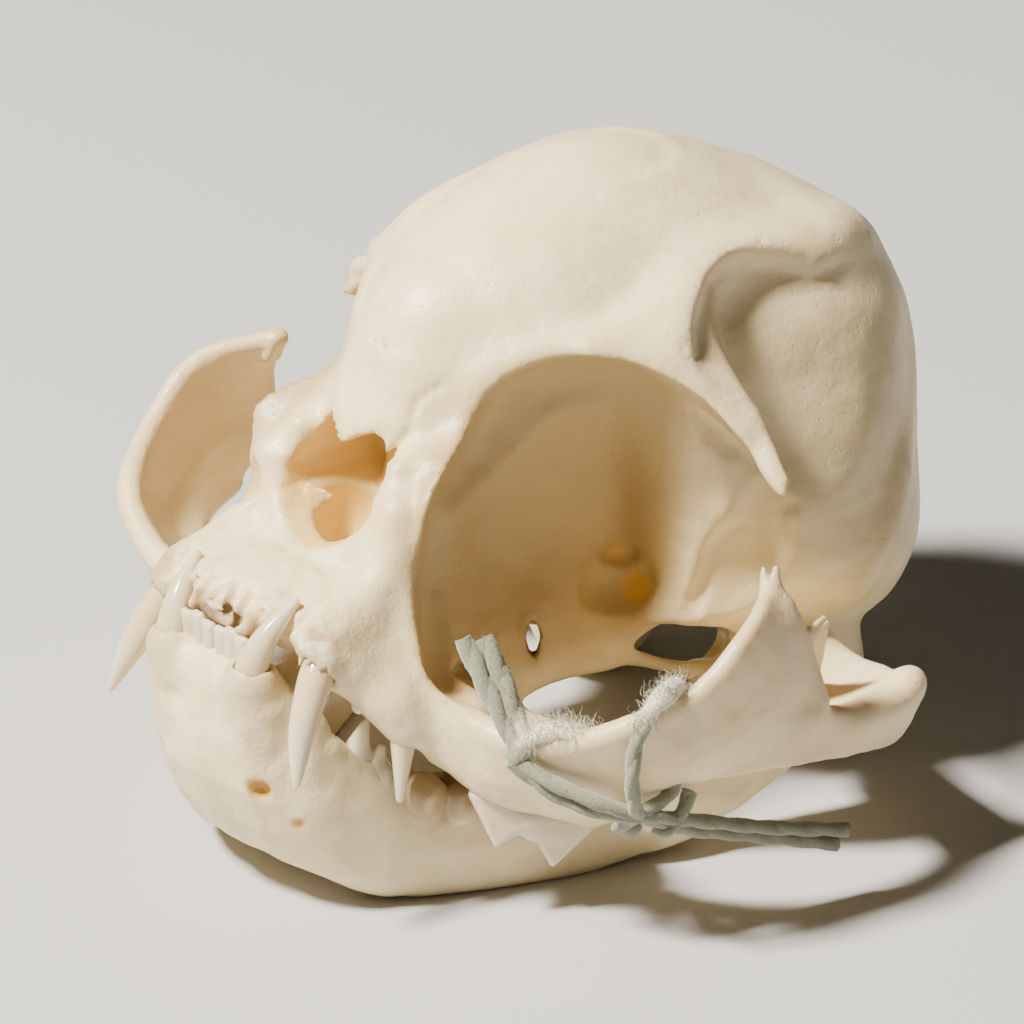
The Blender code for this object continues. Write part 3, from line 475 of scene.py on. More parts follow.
def paint(piece, name, values):
    """Keeps one number for each vertex, for a material to read."""
    layer = piece.data.attributes.get(name) or piece.data.attributes.new(name, "FLOAT", "POINT")
    layer.data.foreach_set("value", np.clip(values, 0, 1).astype(np.float32))


def near_form(piece, form, fade):
    """1 inside a form and falling to 0 at this distance from it, for each vertex."""
    return np.clip(1 - distances(form, form_points(piece).astype(np.float32)) / fade, 0, 1)


print("helpers for meshes and painted masks are ready")

# %% [markdown]
# ## The cranium's big masses
# A short-faced cat has a round braincase with a high forehead, and between the eyes a tall narrow
# block that carries the nose and the upper jaw. Start with the biggest masses and keep the blends
# soft. The left and right halves are separate lumps, because the cheek arches of a real skull are
# never quite alike.

# %% Braincase, forehead and muzzle
BRAINCASE_CENTRE = (0.0, 13.3, 30.4)
BRAINCASE_RADII = (21.8, 22.8, 21.8)


def masses(clay):
    add = clay.add
    add(ball(BRAINCASE_CENTRE, BRAINCASE_RADII))
    add(ball((0, 18.0, 24.0), (19.5, 17.5, 15.5)), 3)
    add(ball((13.5, 20.6, 20.5), (7.5, 8.0, 8.0)), 4)
    # forehead: a high dome that comes forward over the orbits
    add(ball((0, 4.6, 37.5), (14.3, 17.5, 18.2)), 5)
    add(ball((0, 9.0, 36.5), (14.0, 16.0, 17.6)), 3)
    add(ball((7.0, 21.0, 37.5), (9.5, 10.0, 9.5)), 4)
    add(ball((0, -4.6, 42.0), (9.8, 9.0, 8.4), (-25, 0, 0)), 7)
    # tall block between the orbits, with the nose in front
    add(sheet([[(0, -11, 44, 6.0), (0, -1, 44, 8)], [(0, -13.5, 37, 7), (0, 2, 32, 8)],
               [(0, -15, 24, 8.5), (0, 5, 20, 8)], [(0, -12, 18, 8), (0, 6, 17, 7)]], 3, 2), 3)
    # nasal bones
    add(limb([(1.5, -12.5, 42.0, 3.0), (1.9, -17.0, 38.0, 1.9), (0.9, -20.8, 36.9, 0.8)]), 2.5)


print("braincase:", 2 * BRAINCASE_RADII[0], "mm wide")

# %% [markdown]
# The upper jaw is a thin box: side walls over the roots of the teeth, a floor of bone between nose and
# mouth, and the wall that it shares with the orbit. One big egg would close the space inside, so each
# wall is a plate of its own, and soft blends join them.

# %% Upper jaw and palate


def upper_jaw(clay):
    add = clay.add
    # block that carries the canines, then the cheek tooth rows
    add(ball((0, -26.8, 25.8), (9.3, 9.0, 3.3)), 2)
    add(limb([(8.8, -30.6, 25.0, 2.0), (8.4, -27.6, 26.4, 1.6), (8.0, -23.4, 30.0, 1.5),
              (7.0, -18.5, 36.0, 1.7)]), 2.5)
    # bone over the root of the canine
    add(limb([(7.7, -27.8, 26.6, 1.6), (8.7, -30.2, 25.6, 2.0), (9.2, -31.5, 24.7, 1.95),
              (9.55, -32.3, 23.9, 1.65)]), 1.2)
    add(limb([(12.6, -27.0, 19.5, 1.9), (13.4, -26.6, 17.6, 1.5)]), 1.0)
    add(sheet([[(10.0, -29.5, 22.5, 2.2), (13.0, -25.5, 18.5, 2.0), (17.0, -20.5, 13.5, 2.0),
                (19.5, -14.5, 11.5, 1.8)],
               [(8.6, -26.5, 26.0, 1.7), (10.9, -23.9, 23.2, 1.9), (14.5, -20.6, 17.5, 2.1),
                (16.5, -13.5, 14.0, 1.6)]], 3), 2)
    # floor and side of the nasal opening
    add(sheet([[(0, -24.7, 27.5, 1.3), (2.4, -24.5, 28.2, 1.3), (4.7, -24.0, 29.6, 1.3),
                (6.3, -23.0, 31.6, 1.2), (6.7, -21.9, 33.8, 1.1), (6.1, -20.7, 36.2, 1.0)],
               [(0, -19.5, 27.0, 1.3), (2.4, -19.5, 27.8, 1.3), (4.7, -19.0, 29.4, 1.3),
                (6.4, -18.4, 31.6, 1.3), (6.7, -17.6, 34.0, 1.2), (6.2, -16.6, 36.6, 1.2)]], 4), 1.5)
    # front wall of the orbit, beside the nasal cavity
    add(sheet([[(8.0, -22.4, 33.5, 1.5), (8.9, -23.4, 27.0, 1.6), (11.4, -23.4, 21.0, 1.6)],
               [(6.2, -14.5, 34.5, 1.6), (6.6, -14.5, 27.0, 1.6), (8.0, -14.5, 20.0, 1.6)]], 3), 1.5)
    # hard palate and the walls behind it
    add(sheet([[(0, -31.5, 25.4, 1.2), (0, -12, 13.5, 1.5)],
               [(10, -29, 22.8, 1.5), (16, -13, 12.5, 1.5)]], 3), 1.5)
    add(sheet([[(7.0, -14, 24, 1.6), (8.2, -8, 22, 1.4), (8.0, 0, 20, 1.2), (8.0, 7, 18, 1.4)],
               [(9.5, -13, 14, 1.3), (8.8, -7, 14.0, 0.9), (8.2, 0, 12.6, 0.7), (8.0, 6, 11.5, 0.7)]],
              3), 1.5)


# %% [markdown]
# ## Orbits and cheek arches
# The eye socket is a deep bowl, so it is carved with an egg. Its rim is then laid back on as a thin
# branch, with the pointed process behind the eye as a small plate. The inner edge of the rim must be
# sharp, so a fat branch along it is carved away last, with hardly any blend.

# %% Orbit and its rim


def orbit(clay):
    add, carve = clay.add, clay.carve
    # shoulder of the forehead above the temple
    add(limb([(15.0, 1.5, 44.5, 2.2), (13.0, 7.5, 47.0, 2.0), (12.6, 13.0, 47.6, 1.6),
              (12.6, 19.4, 46.7, 1.8), (10.8, 24.8, 45.3, 1.4), (6.0, 29.5, 42.2, 0.7)]), 4)
    carve(ball((21.5, -10.0, 29.5), (14.5, 16.0, 16.5)), 1.0)
    carve(limb([(17, -6, 27, 9), (12.4, 0.0, 22.5, 4.8)]), 5.0)
    # the front of the braincase bulges into the orbit, up to a ridge below the process
    add(sheet([[(12.3, 3.4, 38.0, 3.0), (11.4, 4.6, 30.0, 3.0), (11.0, 5.6, 23.0, 3.0),
                (11.2, 6.6, 18.0, 3.0)],
               [(17.4, 5.2, 38.0, 3.0), (18.4, 9.6, 30.0, 3.0), (14.4, 7.0, 22.8, 3.0),
                (12.6, 6.6, 18.6, 2.6)]], 3), 2.4)
    carve(ball((27.5, 0.5, 21.5), (12.6, 12.6, 12.6)), 0.3)
    add(limb([(6.6, -13.8, 38.2, 1.3), (9.2, -19.4, 35.4, 1.0), (9.2, -21.3, 31.5, 1.0),
              (10.0, -22.6, 27.0, 1.2), (12.6, -23.4, 21.8, 1.5)]), 1.5)
    # thin flange of the rim beside the nose
    add(sheet([[(7.9, -15.0, 38.0, 0.7), (9.6, -18.6, 36.8, 0.5), (10.4, -20.9, 35.2, 0.45),
                (10.4, -21.9, 32.2, 0.45)],
               [(6.4, -16.5, 36.0, 1.0), (7.6, -19.0, 34.5, 1.0), (8.2, -21.0, 33.0, 1.0),
                (8.6, -21.8, 31.0, 1.0)]], 3), 0.8)


# The edge of the orbit from below the eye, up beside the nose and back to the process, and its middle
ORBIT_RIM = [(14.0, -24.2, 21.3), (11.5, -23.6, 27.5), (10.4, -21.9, 31.8), (10.5, -20.9, 35.4),
             (7.9, -14.2, 38.6), (10.0, -10.7, 43.7), (13.0, -4.5, 44.0), (16.0, -0.6, 42.2),
             (18.5, 1.6, 40.1), (22.0, 2.9, 37.3)]
ORBIT_MIDDLE = (20.0, -9.5, 29.0)
RIM_HOLLOW = 5.0


def brow(clay, side):
    """The upper rim of the orbit and the pointed process behind the eye."""
    add = clay.add
    add(limb([(6.6, -13.8, 38.2, 1.4), (8.2, -10.8, 42.6, 1.4), (12.2, -5.6, 44.2, 1.4),
              (15.8, -1.6, 42.6, 1.4), (18.8, 1.2, 40.2, 1.4), (21.5, 2.8, 37.9, 1.2)]), 3.0)
    add(sheet([[(13.0, -5.0, 44.2, 1.2), (18.8, 1.0, 40.2, 1.2), (22.0, 2.8, 37.6, 0.9)],
               [(13.2, 4.0, 46.0, 1.5), (17.0, 4.4, 42.0, 1.2), (21.4, 3.8, 38.6, 0.9)]], 4), 3.0)
    # the process behind the eye, down to its point
    add(sheet([[(19.5, 1.6, 39.6, 1.1), (23.4, 3.0, 36.8, 0.8), (27.2, 2.8, 34.3, 0.4)],
               [(18.4, 4.0, 40.8, 1.0), (23.0, 3.9, 38.0, 0.8), (26.8, 3.4, 35.0, 0.4)]], 4), 1.0)
    if side < 0:
        add(limb([(23.4, 3.2, 37.8, 1.0), (25.9, 3.0, 36.9, 0.8), (26.1, 2.8, 34.6, 0.45)]), 0.8)
        add(sheet([[(8.6, -15.4, 38.2, 0.7), (10.3, -18.6, 37.4, 0.5), (11.0, -21.0, 36.0, 0.45),
                    (10.5, -21.6, 32.6, 0.45)],
                   [(6.4, -16.5, 36.0, 1.0), (7.6, -19.0, 34.5, 1.0), (8.2, -21.0, 33.0, 1.0),
                    (8.6, -21.8, 31.0, 1.0)]], 3), 0.8)
    # the rim is sharp where the hollow behind it begins
    rim = np.array(ORBIT_RIM)
    inward = np.array(ORBIT_MIDDLE) - rim
    inward /= np.linalg.norm(inward, axis=1)[:, None]
    clay.carve(limb([(*point, RIM_HOLLOW) for point in rim + RIM_HOLLOW * inward], 3), 0.5)
    if side < 0:
        # broken notch in the rim beside the nose
        clay.carve(limb([(9.0, -24.4, 31.6, 2.0), (10.4, -24.6, 29.6, 1.3),
                         (11.4, -24.8, 28.0, 0.8)]), 0.4)


print("orbit rim through", len(ORBIT_RIM), "points")

# %% [markdown]
# The cheekbone is a wide thin strap, so it is one curved plate through three rows of points: upper,
# middle and lower. A slim bar runs on from it to the braincase. Old bone breaks here first, so the left
# arch ends in a splinter and two points, and the right one has another outline.

# %% Cheek arch
ARCH_BOW = 0.3


def bowed(row, side):
    """A row of the cheek arch, which bows out further on the right."""
    out = 0.0 if side > 0 else ARCH_BOW
    return [
        (x + out * min(max((x - 14) / 20, 0), 1), y - 0.9 * out * min(max((x - 14) / 20, 0), 1), z, r)
        for x, y, z, r in row
    ]


def cheek_arch(clay, side):
    add, carve = clay.add, clay.carve
    upper = [(13.0, -23.6, 21.6, 1.4), (17.6, -22.6, 17.9, 1.3), (21.8, -21.5, 17.6, 1.2),
             (26.0, -20.8, 18.6, 1.1), (30.6, -18.6, 20.8, 1.0), (33.9, -12.6, 23.6, 0.9),
             (34.1, -7.4, 27.4, 0.8), (31.3, -2.2, 28.8, 0.7)]
    if side < 0:
        upper[-4:] = [(30.6, -18.6, 21.2, 1.0), (33.9, -12.8, 24.6, 0.9), (34.1, -7.4, 28.6, 0.9),
                      (30.6, -1.4, 30.0, 0.8)]
    middle = [(14.0, -24.0, 17.6, 1.6), (18.0, -21.6, 12.8, 1.6), (21.8, -18.2, 11.6, 1.4),
              (26.2, -16.9, 13.4, 1.2), (32.0, -14.8, 17.4, 1.3), (34.2, -9.2, 19.6, 1.3),
              (34.2, -3.8, 22.0, 1.1), (32.8, -1.2, 26.2, 0.8)]
    lower = [(14.6, -23.6, 15.0, 1.4), (18.0, -18.4, 11.0, 1.4), (21.2, -14.8, 8.8, 1.4),
             (25.8, -14.2, 11.0, 1.3), (29.8, -12.4, 14.2, 1.2), (32.4, -8.6, 15.4, 1.1),
             (33.8, -3.4, 16.2, 1.0), (34.2, 0.6, 18.6, 0.8)]
    add(sheet([bowed(row, side) for row in (upper, middle, lower)], 3, 3), 1.0)
    bar = [[(33.8, -8.0, 19.0, 1.0), (34.0, -1.0, 17.6, 1.0), (34.0, 5.0, 15.6, 0.9),
            (33.6, 10.0, 14.8, 0.8), (33.4, 11.9, 16.3, 0.8)],
           [(33.0, -8.6, 15.6, 1.0), (33.8, -2.0, 14.3, 0.9), (33.8, 5.0, 12.9, 0.8),
            (33.5, 9.4, 12.2, 0.8), (33.4, 11.2, 13.2, 0.7)]]
    if side < 0:
        bar = [[(33.8, -8.0, 19.0, 1.0), (34.0, -1.0, 20.2, 0.9), (34.0, 4.0, 19.8, 0.9),
                (33.4, 9.6, 17.0, 0.8)],
               [(33.6, -8.6, 17.4, 1.0), (34.0, -2.0, 18.2, 0.9), (34.0, 4.0, 17.2, 0.9),
                (33.4, 10.0, 14.6, 0.8)]]
    add(sheet([bowed(row, side) for row in bar], 3), 1.0)
    if side < 0:
        carve(ball((34.6, -0.9, 13.6), (3.6, 3.8, 4.4)), 0.6)
    else:
        # broken ends: a splinter behind the cheekbone, and two points on top of it
        add(web((33.6, -1.6, 24.6, 0.35), (33.6, -0.8, 23.0, 0.35), (33.0, 2.3, 25.2, 0.3)), 0.3)
    add(rod((31.3, -2.8, 28.4, 0.6), (30.5, -2.4, 30.3, 0.3)), 0.4)
    add(rod((31.4, -1.8, 28.2, 0.6), (31.1, -1.5, 30.4, 0.3)), 0.4)
    # root of the arch on the braincase, above the jaw joint
    add(sheet([[(17, 10.0, 14.4, 2.5), (23, 8.0, 13.6, 1.6), (29, 6.5, 14.2, 1.2),
                (33.6, 4.0, 14.8, 0.9)],
               [(17, 15.2, 12.8, 2.2), (23, 14.4, 13.0, 1.4), (29, 12.6, 14.6, 1.2),
                (33.4, 11.6, 16.0, 0.9)]], 3), 2.5)


# %% [markdown]
# ## The base, the nose and the temple
# Below the braincase are the two round ear capsules, on which the skull stands, and the two knobs on
# which the neck turned. The mouth side of the base is carved hollow, and the great opening for the
# spinal cord is an egg carved from behind.

# %% Base of the skull


def base(clay):
    add, carve = clay.add, clay.carve
    add(sheet([[(0, 4, 17, 2.5), (0, 27, 12.5, 3.0)], [(9, 8, 17.5, 2.5), (9, 27, 13.0, 3.0)]], 2), 3)
    carve(sheet([[(0, -2, 7.4, 5.4), (0, 12, 6.6, 5.4), (0, 25, 3.0, 5.4)],
                 [(7, -2, 7.4, 5.4), (8, 12, 6.4, 5.4), (8, 25, 3.0, 5.4)]], 2), 1.5)
    carve(ball((14.2, 4.0, 10.4), (5.0, 9.2, 6.3)), 1.0)
    carve(ball((11.0, 7.8, 9.8), (6.0, 5.8, 4.8)), 1.0)
    carve(ball((12.2, 5.0, 12.4), (3.8, 6.0, 4.2)), 0.8)
    add(limb([(8.4, -3.4, 13.9, 1.0), (8.3, 0, 13.1, 1.1), (8.0, 3.4, 12.0, 0.8), (8.4, 7.0, 10.2, 0.6),
              (9.2, 11.0, 8.4, 0.7)]), 0.8)
    # ear capsule, with the bone behind it and the ear opening in its side
    add(ball((11.6, 17.8, 7.4), (5.8, 7.4, 8.0), (0, 0, -12)), 2.5)
    add(ball((9.8, 14.2, 6.6), (3.0, 3.6, 2.8), (0, 0, -25)), 2.0)
    add(limb([(15.5, 19.5, 17.0, 2.2), (13.6, 21.2, 11.0, 1.5), (12.8, 22.4, 6.4, 1.1)]), 2.5)
    carve(limb([(20.0, 13.6, 11.0, 1.9), (15.5, 14.6, 10.4, 1.6)]), 0.8)
    carve(limb([(9.4, 10.8, 12.2, 2.2), (6.8, 13.6, 9.8, 1.7)]), 0.6)
    # knob of the neck joint beside the great opening for the spinal cord
    add(limb([(9.0, 24.0, 12.6, 2.0), (7.2, 28.6, 11.4, 2.6), (5.4, 30.2, 9.2, 2.2),
              (3.0, 29.0, 8.4, 1.4)]), 1.5)
    carve(ball((0, 30.5, 14.4), (6.6, 9.5, 5.8), (-24, 0, 0)), 1.0)


print("arches, base and ear capsules are ready to be cast")

# %% [markdown]
# The nasal opening has a torn, uneven edge. A round form would make a round hole, so it is a tunnel
# with an outline of its own. The hollow of the temple, where the chewing muscle lay, is very shallow
# with one sharp edge. A carve would leave an edge all round, so the surface is pushed inwards instead,
# and the push fades out behind and below.

# %% Nasal opening and temple
TEMPLE_LINE = [(23.6, 4.2, 37.4), (21.6, 3.4, 40.0), (19.3, 2.7, 42.5), (17.2, 2.4, 45.4),
               (15.2, 3.6, 47.8), (14.2, 6.4, 49.2), (14.2, 9.1, 49.4), (14.4, 11.8, 48.9),
               (14.7, 15.0, 47.7), (14.8, 17.9, 46.7), (14.5, 20.9, 45.7), (12.2, 26.5, 44.0)]
TEMPLE_MIDDLE = (20.0, 14.0, 35.0)
TEMPLE_DEPTH = 1.7
TEMPLE_EDGE = 1.9
# The nasal opening seen from the front, x and z: the left half from the nasal bones' point down, and
# then its mirror
NOSE_OUTLINE = [(0.0, 36.9), (0.9, 37.6), (2.4, 38.2), (3.9, 37.4), (5.1, 35.2), (5.5, 33.4),
                (5.1, 31.8), (3.5, 30.2), (1.5, 29.2), (0.0, 28.7)]
NOSE_OUTLINE += [(-x, z) for x, z in NOSE_OUTLINE[-2:0:-1]]
NOSE_BACK = -12.5
# The nose is wider and deeper behind its rim
NOSE_FLOOR = ball((0, -18.6, 29.4), (4.4, 4.4, 4.8))


def nose_and_temple(clay):
    add, carve, push = clay.add, clay.carve, clay.push
    carve(tunnel(NOSE_OUTLINE, -34.0, NOSE_BACK), 0.1)
    carve(NOSE_FLOOR, 0.8)
    # a sharp line above and in front, fading out behind and below
    line = spaced(TEMPLE_LINE, 1)
    inward = np.array(TEMPLE_MIDDLE) - line
    inward /= np.linalg.norm(inward, axis=1)[:, None]
    rows = [
        [(*(point + reach * step), reach) for point, step in zip(line, inward)]
        for reach in (3.2, 5.2, 7.2)
    ]
    low = [[(19.0, 7.0, 41.0, 4), (19.2, 13.3, 41.5, 4), (17.6, 20.5, 41.0, 4), (13.5, 27.5, 40.0, 4)],
           [(20.8, 6.5, 36.0, 4), (21.6, 14.0, 36.0, 4), (19.0, 22.0, 36.0, 4), (14.5, 29.5, 35.0, 4)],
           [(20.5, 8.0, 27.0, 4), (21.6, 13.0, 27.0, 4), (20.6, 20.0, 27.0, 4), (17.0, 27.5, 27.0, 4)],
           [(20.5, 8.0, 18.0, 4), (21.4, 13.0, 18.0, 4), (20.6, 18.0, 18.0, 4), (19.0, 22.0, 18.0, 4)]]
    push(sheet(rows, 2) + sheet(low, 3, 2), -TEMPLE_DEPTH, TEMPLE_EDGE, [(1, 9.0, 25.0), (2, 38.0, 18.0)])
    push(ball((20.5, 9.0, 36.0), (9, 11, 10)), -1.5, 8.0)
    # crest across the back of the braincase
    add(limb([(7.0, 30.0, 40.8, 0.6), (12.5, 28.6, 36.5, 0.8), (17.0, 25.6, 30.0, 0.9),
              (20.0, 21.5, 24.0, 0.9), (20.4, 18.0, 18.5, 0.8)]), 2.5)


print("the temple is", TEMPLE_DEPTH, "mm deep at its sharp edge")

# %% [markdown]
# ## The lower jaw
# Each half of the jaw is a deep bar that carries the teeth, with a rising branch behind it. Plates and
# branches again, and a carve from inside, so that the jaw isn't a solid block.

# %% Lower jaw


def jaw(clay):
    add, carve = clay.add, clay.carve
    # chin and the front teeth's bone
    add(sheet([[(0.5, -35.0, 20.0, 2.2), (4.2, -34.8, 19.5, 2.6), (6.6, -32.4, 16.5, 2.4)],
               [(0.5, -34.6, 13.0, 2.6), (4.6, -33.9, 12.0, 2.8), (7.6, -31.0, 10.0, 2.6)],
               [(0.5, -31.4, 6.8, 2.4), (4.6, -31.0, 6.0, 2.6), (8.0, -28.8, 5.0, 2.6)],
               [(0.5, -27.5, 5.0, 2.0), (5.0, -27.5, 4.4, 2.3), (9.0, -26.0, 3.4, 2.5)]], 3, 2), 2)
    add(limb([(0, -34.6, 20.4, 2.0), (0, -34.9, 14.0, 2.6), (0, -31.8, 7.0, 2.6),
              (0, -28.0, 4.6, 2.0)]), 2.0)
    # bone over the roots of the canines
    add(limb([(4.8, -33.6, 12.0, 2.6), (4.9, -34.9, 17.0, 2.6), (4.85, -35.7, 21.4, 2.45)]), 1.2)
    add(limb([(0.0, -34.8, 20.4, 1.8), (3.6, -35.0, 20.6, 1.8)]), 1.2)
    # body
    add(sheet([[(6.5, -32.0, 16.0, 2.2), (9.5, -27.0, 11.4, 2.0), (12.0, -21.0, 9.0, 1.9),
                (14.5, -14.0, 8.0, 1.8), (18.0, -6.0, 8.0, 1.6)],
               [(7.0, -31.0, 9.5, 2.6), (10.0, -26.0, 6.0, 2.6), (12.8, -20.0, 5.0, 2.6),
                (16.0, -11.5, 4.6, 2.5), (19.2, -3.5, 5.2, 2.0)],
               [(7.0, -28.6, 6.0, 2.2), (9.8, -24.6, 2.5, 2.2), (13.0, -18.5, 1.8, 2.2),
                (16.5, -10.0, 1.7, 2.1), (19.8, -1.6, 2.8, 1.8)]], 3, 2), 2)
    # rising branch with its hooked tip
    add(sheet([[(17.6, -7.0, 9.0, 1.5), (22.0, -3.0, 13.0, 1.1), (26.6, 0.2, 17.5, 0.9),
                (29.2, 3.2, 21.6, 0.6), (30.0, 5.2, 22.6, 0.4)],
               [(18.8, -4.0, 5.5, 1.8), (22.2, 1.8, 9.5, 1.3), (25.4, 4.2, 13.5, 0.8),
                (28.0, 4.8, 17.8, 0.6), (29.9, 5.4, 22.2, 0.4)],
               [(19.6, -4.0, 3.2, 1.7), (21.8, 2.0, 5.6, 1.4), (23.2, 6.6, 8.6, 1.3),
                (24.8, 8.2, 11.2, 0.9), (27.6, 5.8, 16.5, 0.5)]], 3, 2), 1.5)
    # joint and the corner below it
    add(sheet([[(22.4, 5.0, 8.6, 1.2), (23.6, 9.4, 10.0, 1.3)],
               [(25.2, 6.0, 12.0, 0.9), (26.4, 9.4, 10.8, 1.2)]], 2), 1.5)
    add(limb([(20.6, 10.9, 10.2, 1.2), (24.5, 10.6, 10.5, 1.7), (28.8, 9.8, 10.5, 1.2)]), 1.5)
    add(limb([(21.4, 2.0, 5.0, 1.7), (22.6, 6.6, 6.8, 1.4), (23.0, 10.4, 8.0, 0.8)]), 2.0)
    carve(ball((2.0, -22.0, 14.0), (8.0, 12.0, 9.0)), 2.0)


print("forms of the jaw are ready to be cast")

# %% [markdown]
# ## Teeth
# A cat bites with four long canines and shears with pointed cheek teeth. The sockets are carved before
# the bone is cast, so where each tooth goes is written down first: a route of x, y, z and radius for
# each canine, and pointed rods and plates for the rest.

# %% Routes of the canines and forms of the cheek teeth
UPPER_CANINE = [(7.8, -28.2, 26.4, 0.9), (8.7, -30.4, 25.0, 1.3), (9.7, -32.8, 22.9, 1.5),
                (10.8, -35.4, 18.8, 1.15), (11.9, -37.0, 14.8, 0.3)]
LOWER_CANINE = [(4.6, -33.0, 13.6, 1.0), (4.8, -34.8, 17.6, 1.2), (4.9, -35.8, 20.6, 1.3),
                (4.95, -35.8, 22.6, 1.45), (5.5, -34.4, 25.6, 1.05), (6.3, -31.6, 28.3, 0.3)]


def cusp(base_point, tip, width, point=0.35):
    """A pointed rod, this wide at its base and so wide at its tip."""
    return rod((*base_point, width), (*tip, point))


def upper_cheek_teeth():
    return (
        # second premolar, a small blade, and the third, a long point
        cusp((10.9, -28.8, 21.5), (10.9, -29.2, 19.4), 1.3, 0.7)
        + cusp((13.3, -26.4, 18.4), (13.9, -27.5, 11.4), 1.4, 0.35)
        # the shearing tooth: a flat front face, a high point and a blade behind
        + web((17.6, -21.8, 11.4, 1.1), (20.0, -19.0, 9.2, 1.0), (19.0, -21.4, 7.1, 0.3))
        + cusp((20.0, -18.8, 9.4), (20.1, -18.9, 7.5), 0.9, 0.4)
        + web((20.4, -18.2, 9.0, 1.2), (22.6, -14.2, 8.8, 1.2), (21.4, -17.3, 4.8, 0.3))
        + cusp((19.6, -17.6, 11.8), (21.2, -16.8, 8.0), 1.7, 1.2)
    )


def lower_cheek_teeth():
    return (
        # third premolar, a leaf with a low heel, and the worn fourth, a bead
        cusp((8.7, -28.3, 12.4), (9.6, -27.4, 16.9), 1.75, 0.3)
        + cusp((8.0, -29.4, 12.4), (7.9, -29.9, 14.8), 1.2, 0.4)
        + cusp((10.0, -26.9, 12.0), (10.4, -26.4, 14.4), 1.0, 0.4)
        + cusp((10.7, -26.2, 10.6), (10.6, -26.6, 12.3), 1.1, 0.95)
    )


def lower_incisors():
    made = []
    for x, top in ((0.70, 24.6), (2.08, 25.0), (3.42, 24.7)):
        for edge in (-0.30, 0.30):
            made += cusp((x * 0.94, -35.0, 21.0), (x + edge, -35.4, top), 0.66, 0.40)
    return made


print("upper canine tip at", UPPER_CANINE[-1][:3])

# %% [markdown]
# ## Fine forms
# What makes bone look like bone is small: nerve holes, torn edges round empty sockets, the seams where
# two bones grew together, and a surface that is never quite even. These are carved after the big forms,
# and each lies on the surface as it now is: settled() moves a point there.

# %% Holes, seams and torn edges


def groove(clay, points, width, depth):
    """A narrow furrow through points near the surface, of this width and depth."""
    on_bone = settled(clay, [point[:3] for point in points])
    line = [(*point, width / 2) for point in on_bone]
    clay.carve(grown(limb(line, 3), depth - width / 2), width / 3)


def pits(clay, spots, radius):
    """Pin holes where small vessels enter."""
    for spot in settled(clay, spots):
        clay.carve(ball(spot, (radius,) * 3), radius / 2)


def outwards(clay, spots):
    """The way out of the surface at each of these spots."""
    slope = np.stack(
        [
            values_at(clay, clay.field, spots + d) - values_at(clay, clay.field, spots - d)
            for d in np.eye(3) * clay.step
        ],
        axis=1,
    )
    return slope / np.linalg.norm(slope, axis=1)[:, None]


def dishes(clay, spots, radius, depth):
    """Shallow dishes with a crisp edge, each cut by a bigger ball that lies mostly outside."""
    spots = settled(clay, spots)
    for spot, out in zip(spots, outwards(clay, spots)):
        bigger = (radius * radius + depth * depth) / (2 * depth)
        clay.carve(ball(spot + (bigger - depth) * out, (bigger,) * 3), 0.1)


# Centres and radii of the two nerve holes deep in the orbit, and the slit above the tooth row
NERVE_HOLES = [((9.4, 3.8, 18.9), 1.75), ((6.9, 2.8, 22.0), 1.2)]
NERVE_DEPTH = 0.45
SLIT = [(11.5, -10.6, 18.3, 0.3), (11.5, -10.6, 19.7, 0.65), (11.5, -10.6, 21.1, 0.3)]
SLIT_RUNS = (-11.7, 10.6, -7.6)
BULGE_RIDGE = [(20.7, 8.6, 29.0), (17.7, 5.1, 26.1), (16.1, 4.1, 22.7), (14.2, 3.2, 19.3)]
BELOW_RIDGE = (0.97, 0.45, -0.88)
STEP_RADIUS = 1.5
BROW_PITS = [(18.0, 1.4, 43.6), (17.2, 0.6, 44.6), (14.0, 13.0, 50.0), (10.0, -3.0, 50.0),
             (5.5, 2.0, 54.6), (9.0, -8.0, 46.0), (7.0, -13.0, 41.0), (6.4, -16.5, 38.6)]


def orbit_holes(clay):
    for centre, radius in NERVE_HOLES:
        dishes(clay, [centre], radius, NERVE_DEPTH)
    slit_inside = [(*(np.array(point) + SLIT_RUNS), r) for *point, r in SLIT]
    clay.carve(sheet([SLIT, slit_inside], 3), 0.1)
    # a step below the ridge where the braincase turns back to the temple
    below = settled(clay, np.array(BULGE_RIDGE) + BELOW_RIDGE)
    below += 1.25 * outwards(clay, below)
    clay.carve(limb([(*point, STEP_RADIUS) for point in below]), 0.15)
    # pocket under the process behind the eye
    clay.carve(limb([(19.4, 1.6, 37.2, 0.7), (22.0, 2.4, 35.8, 0.8), (24.2, 2.8, 34.4, 0.5)]), 1.5)


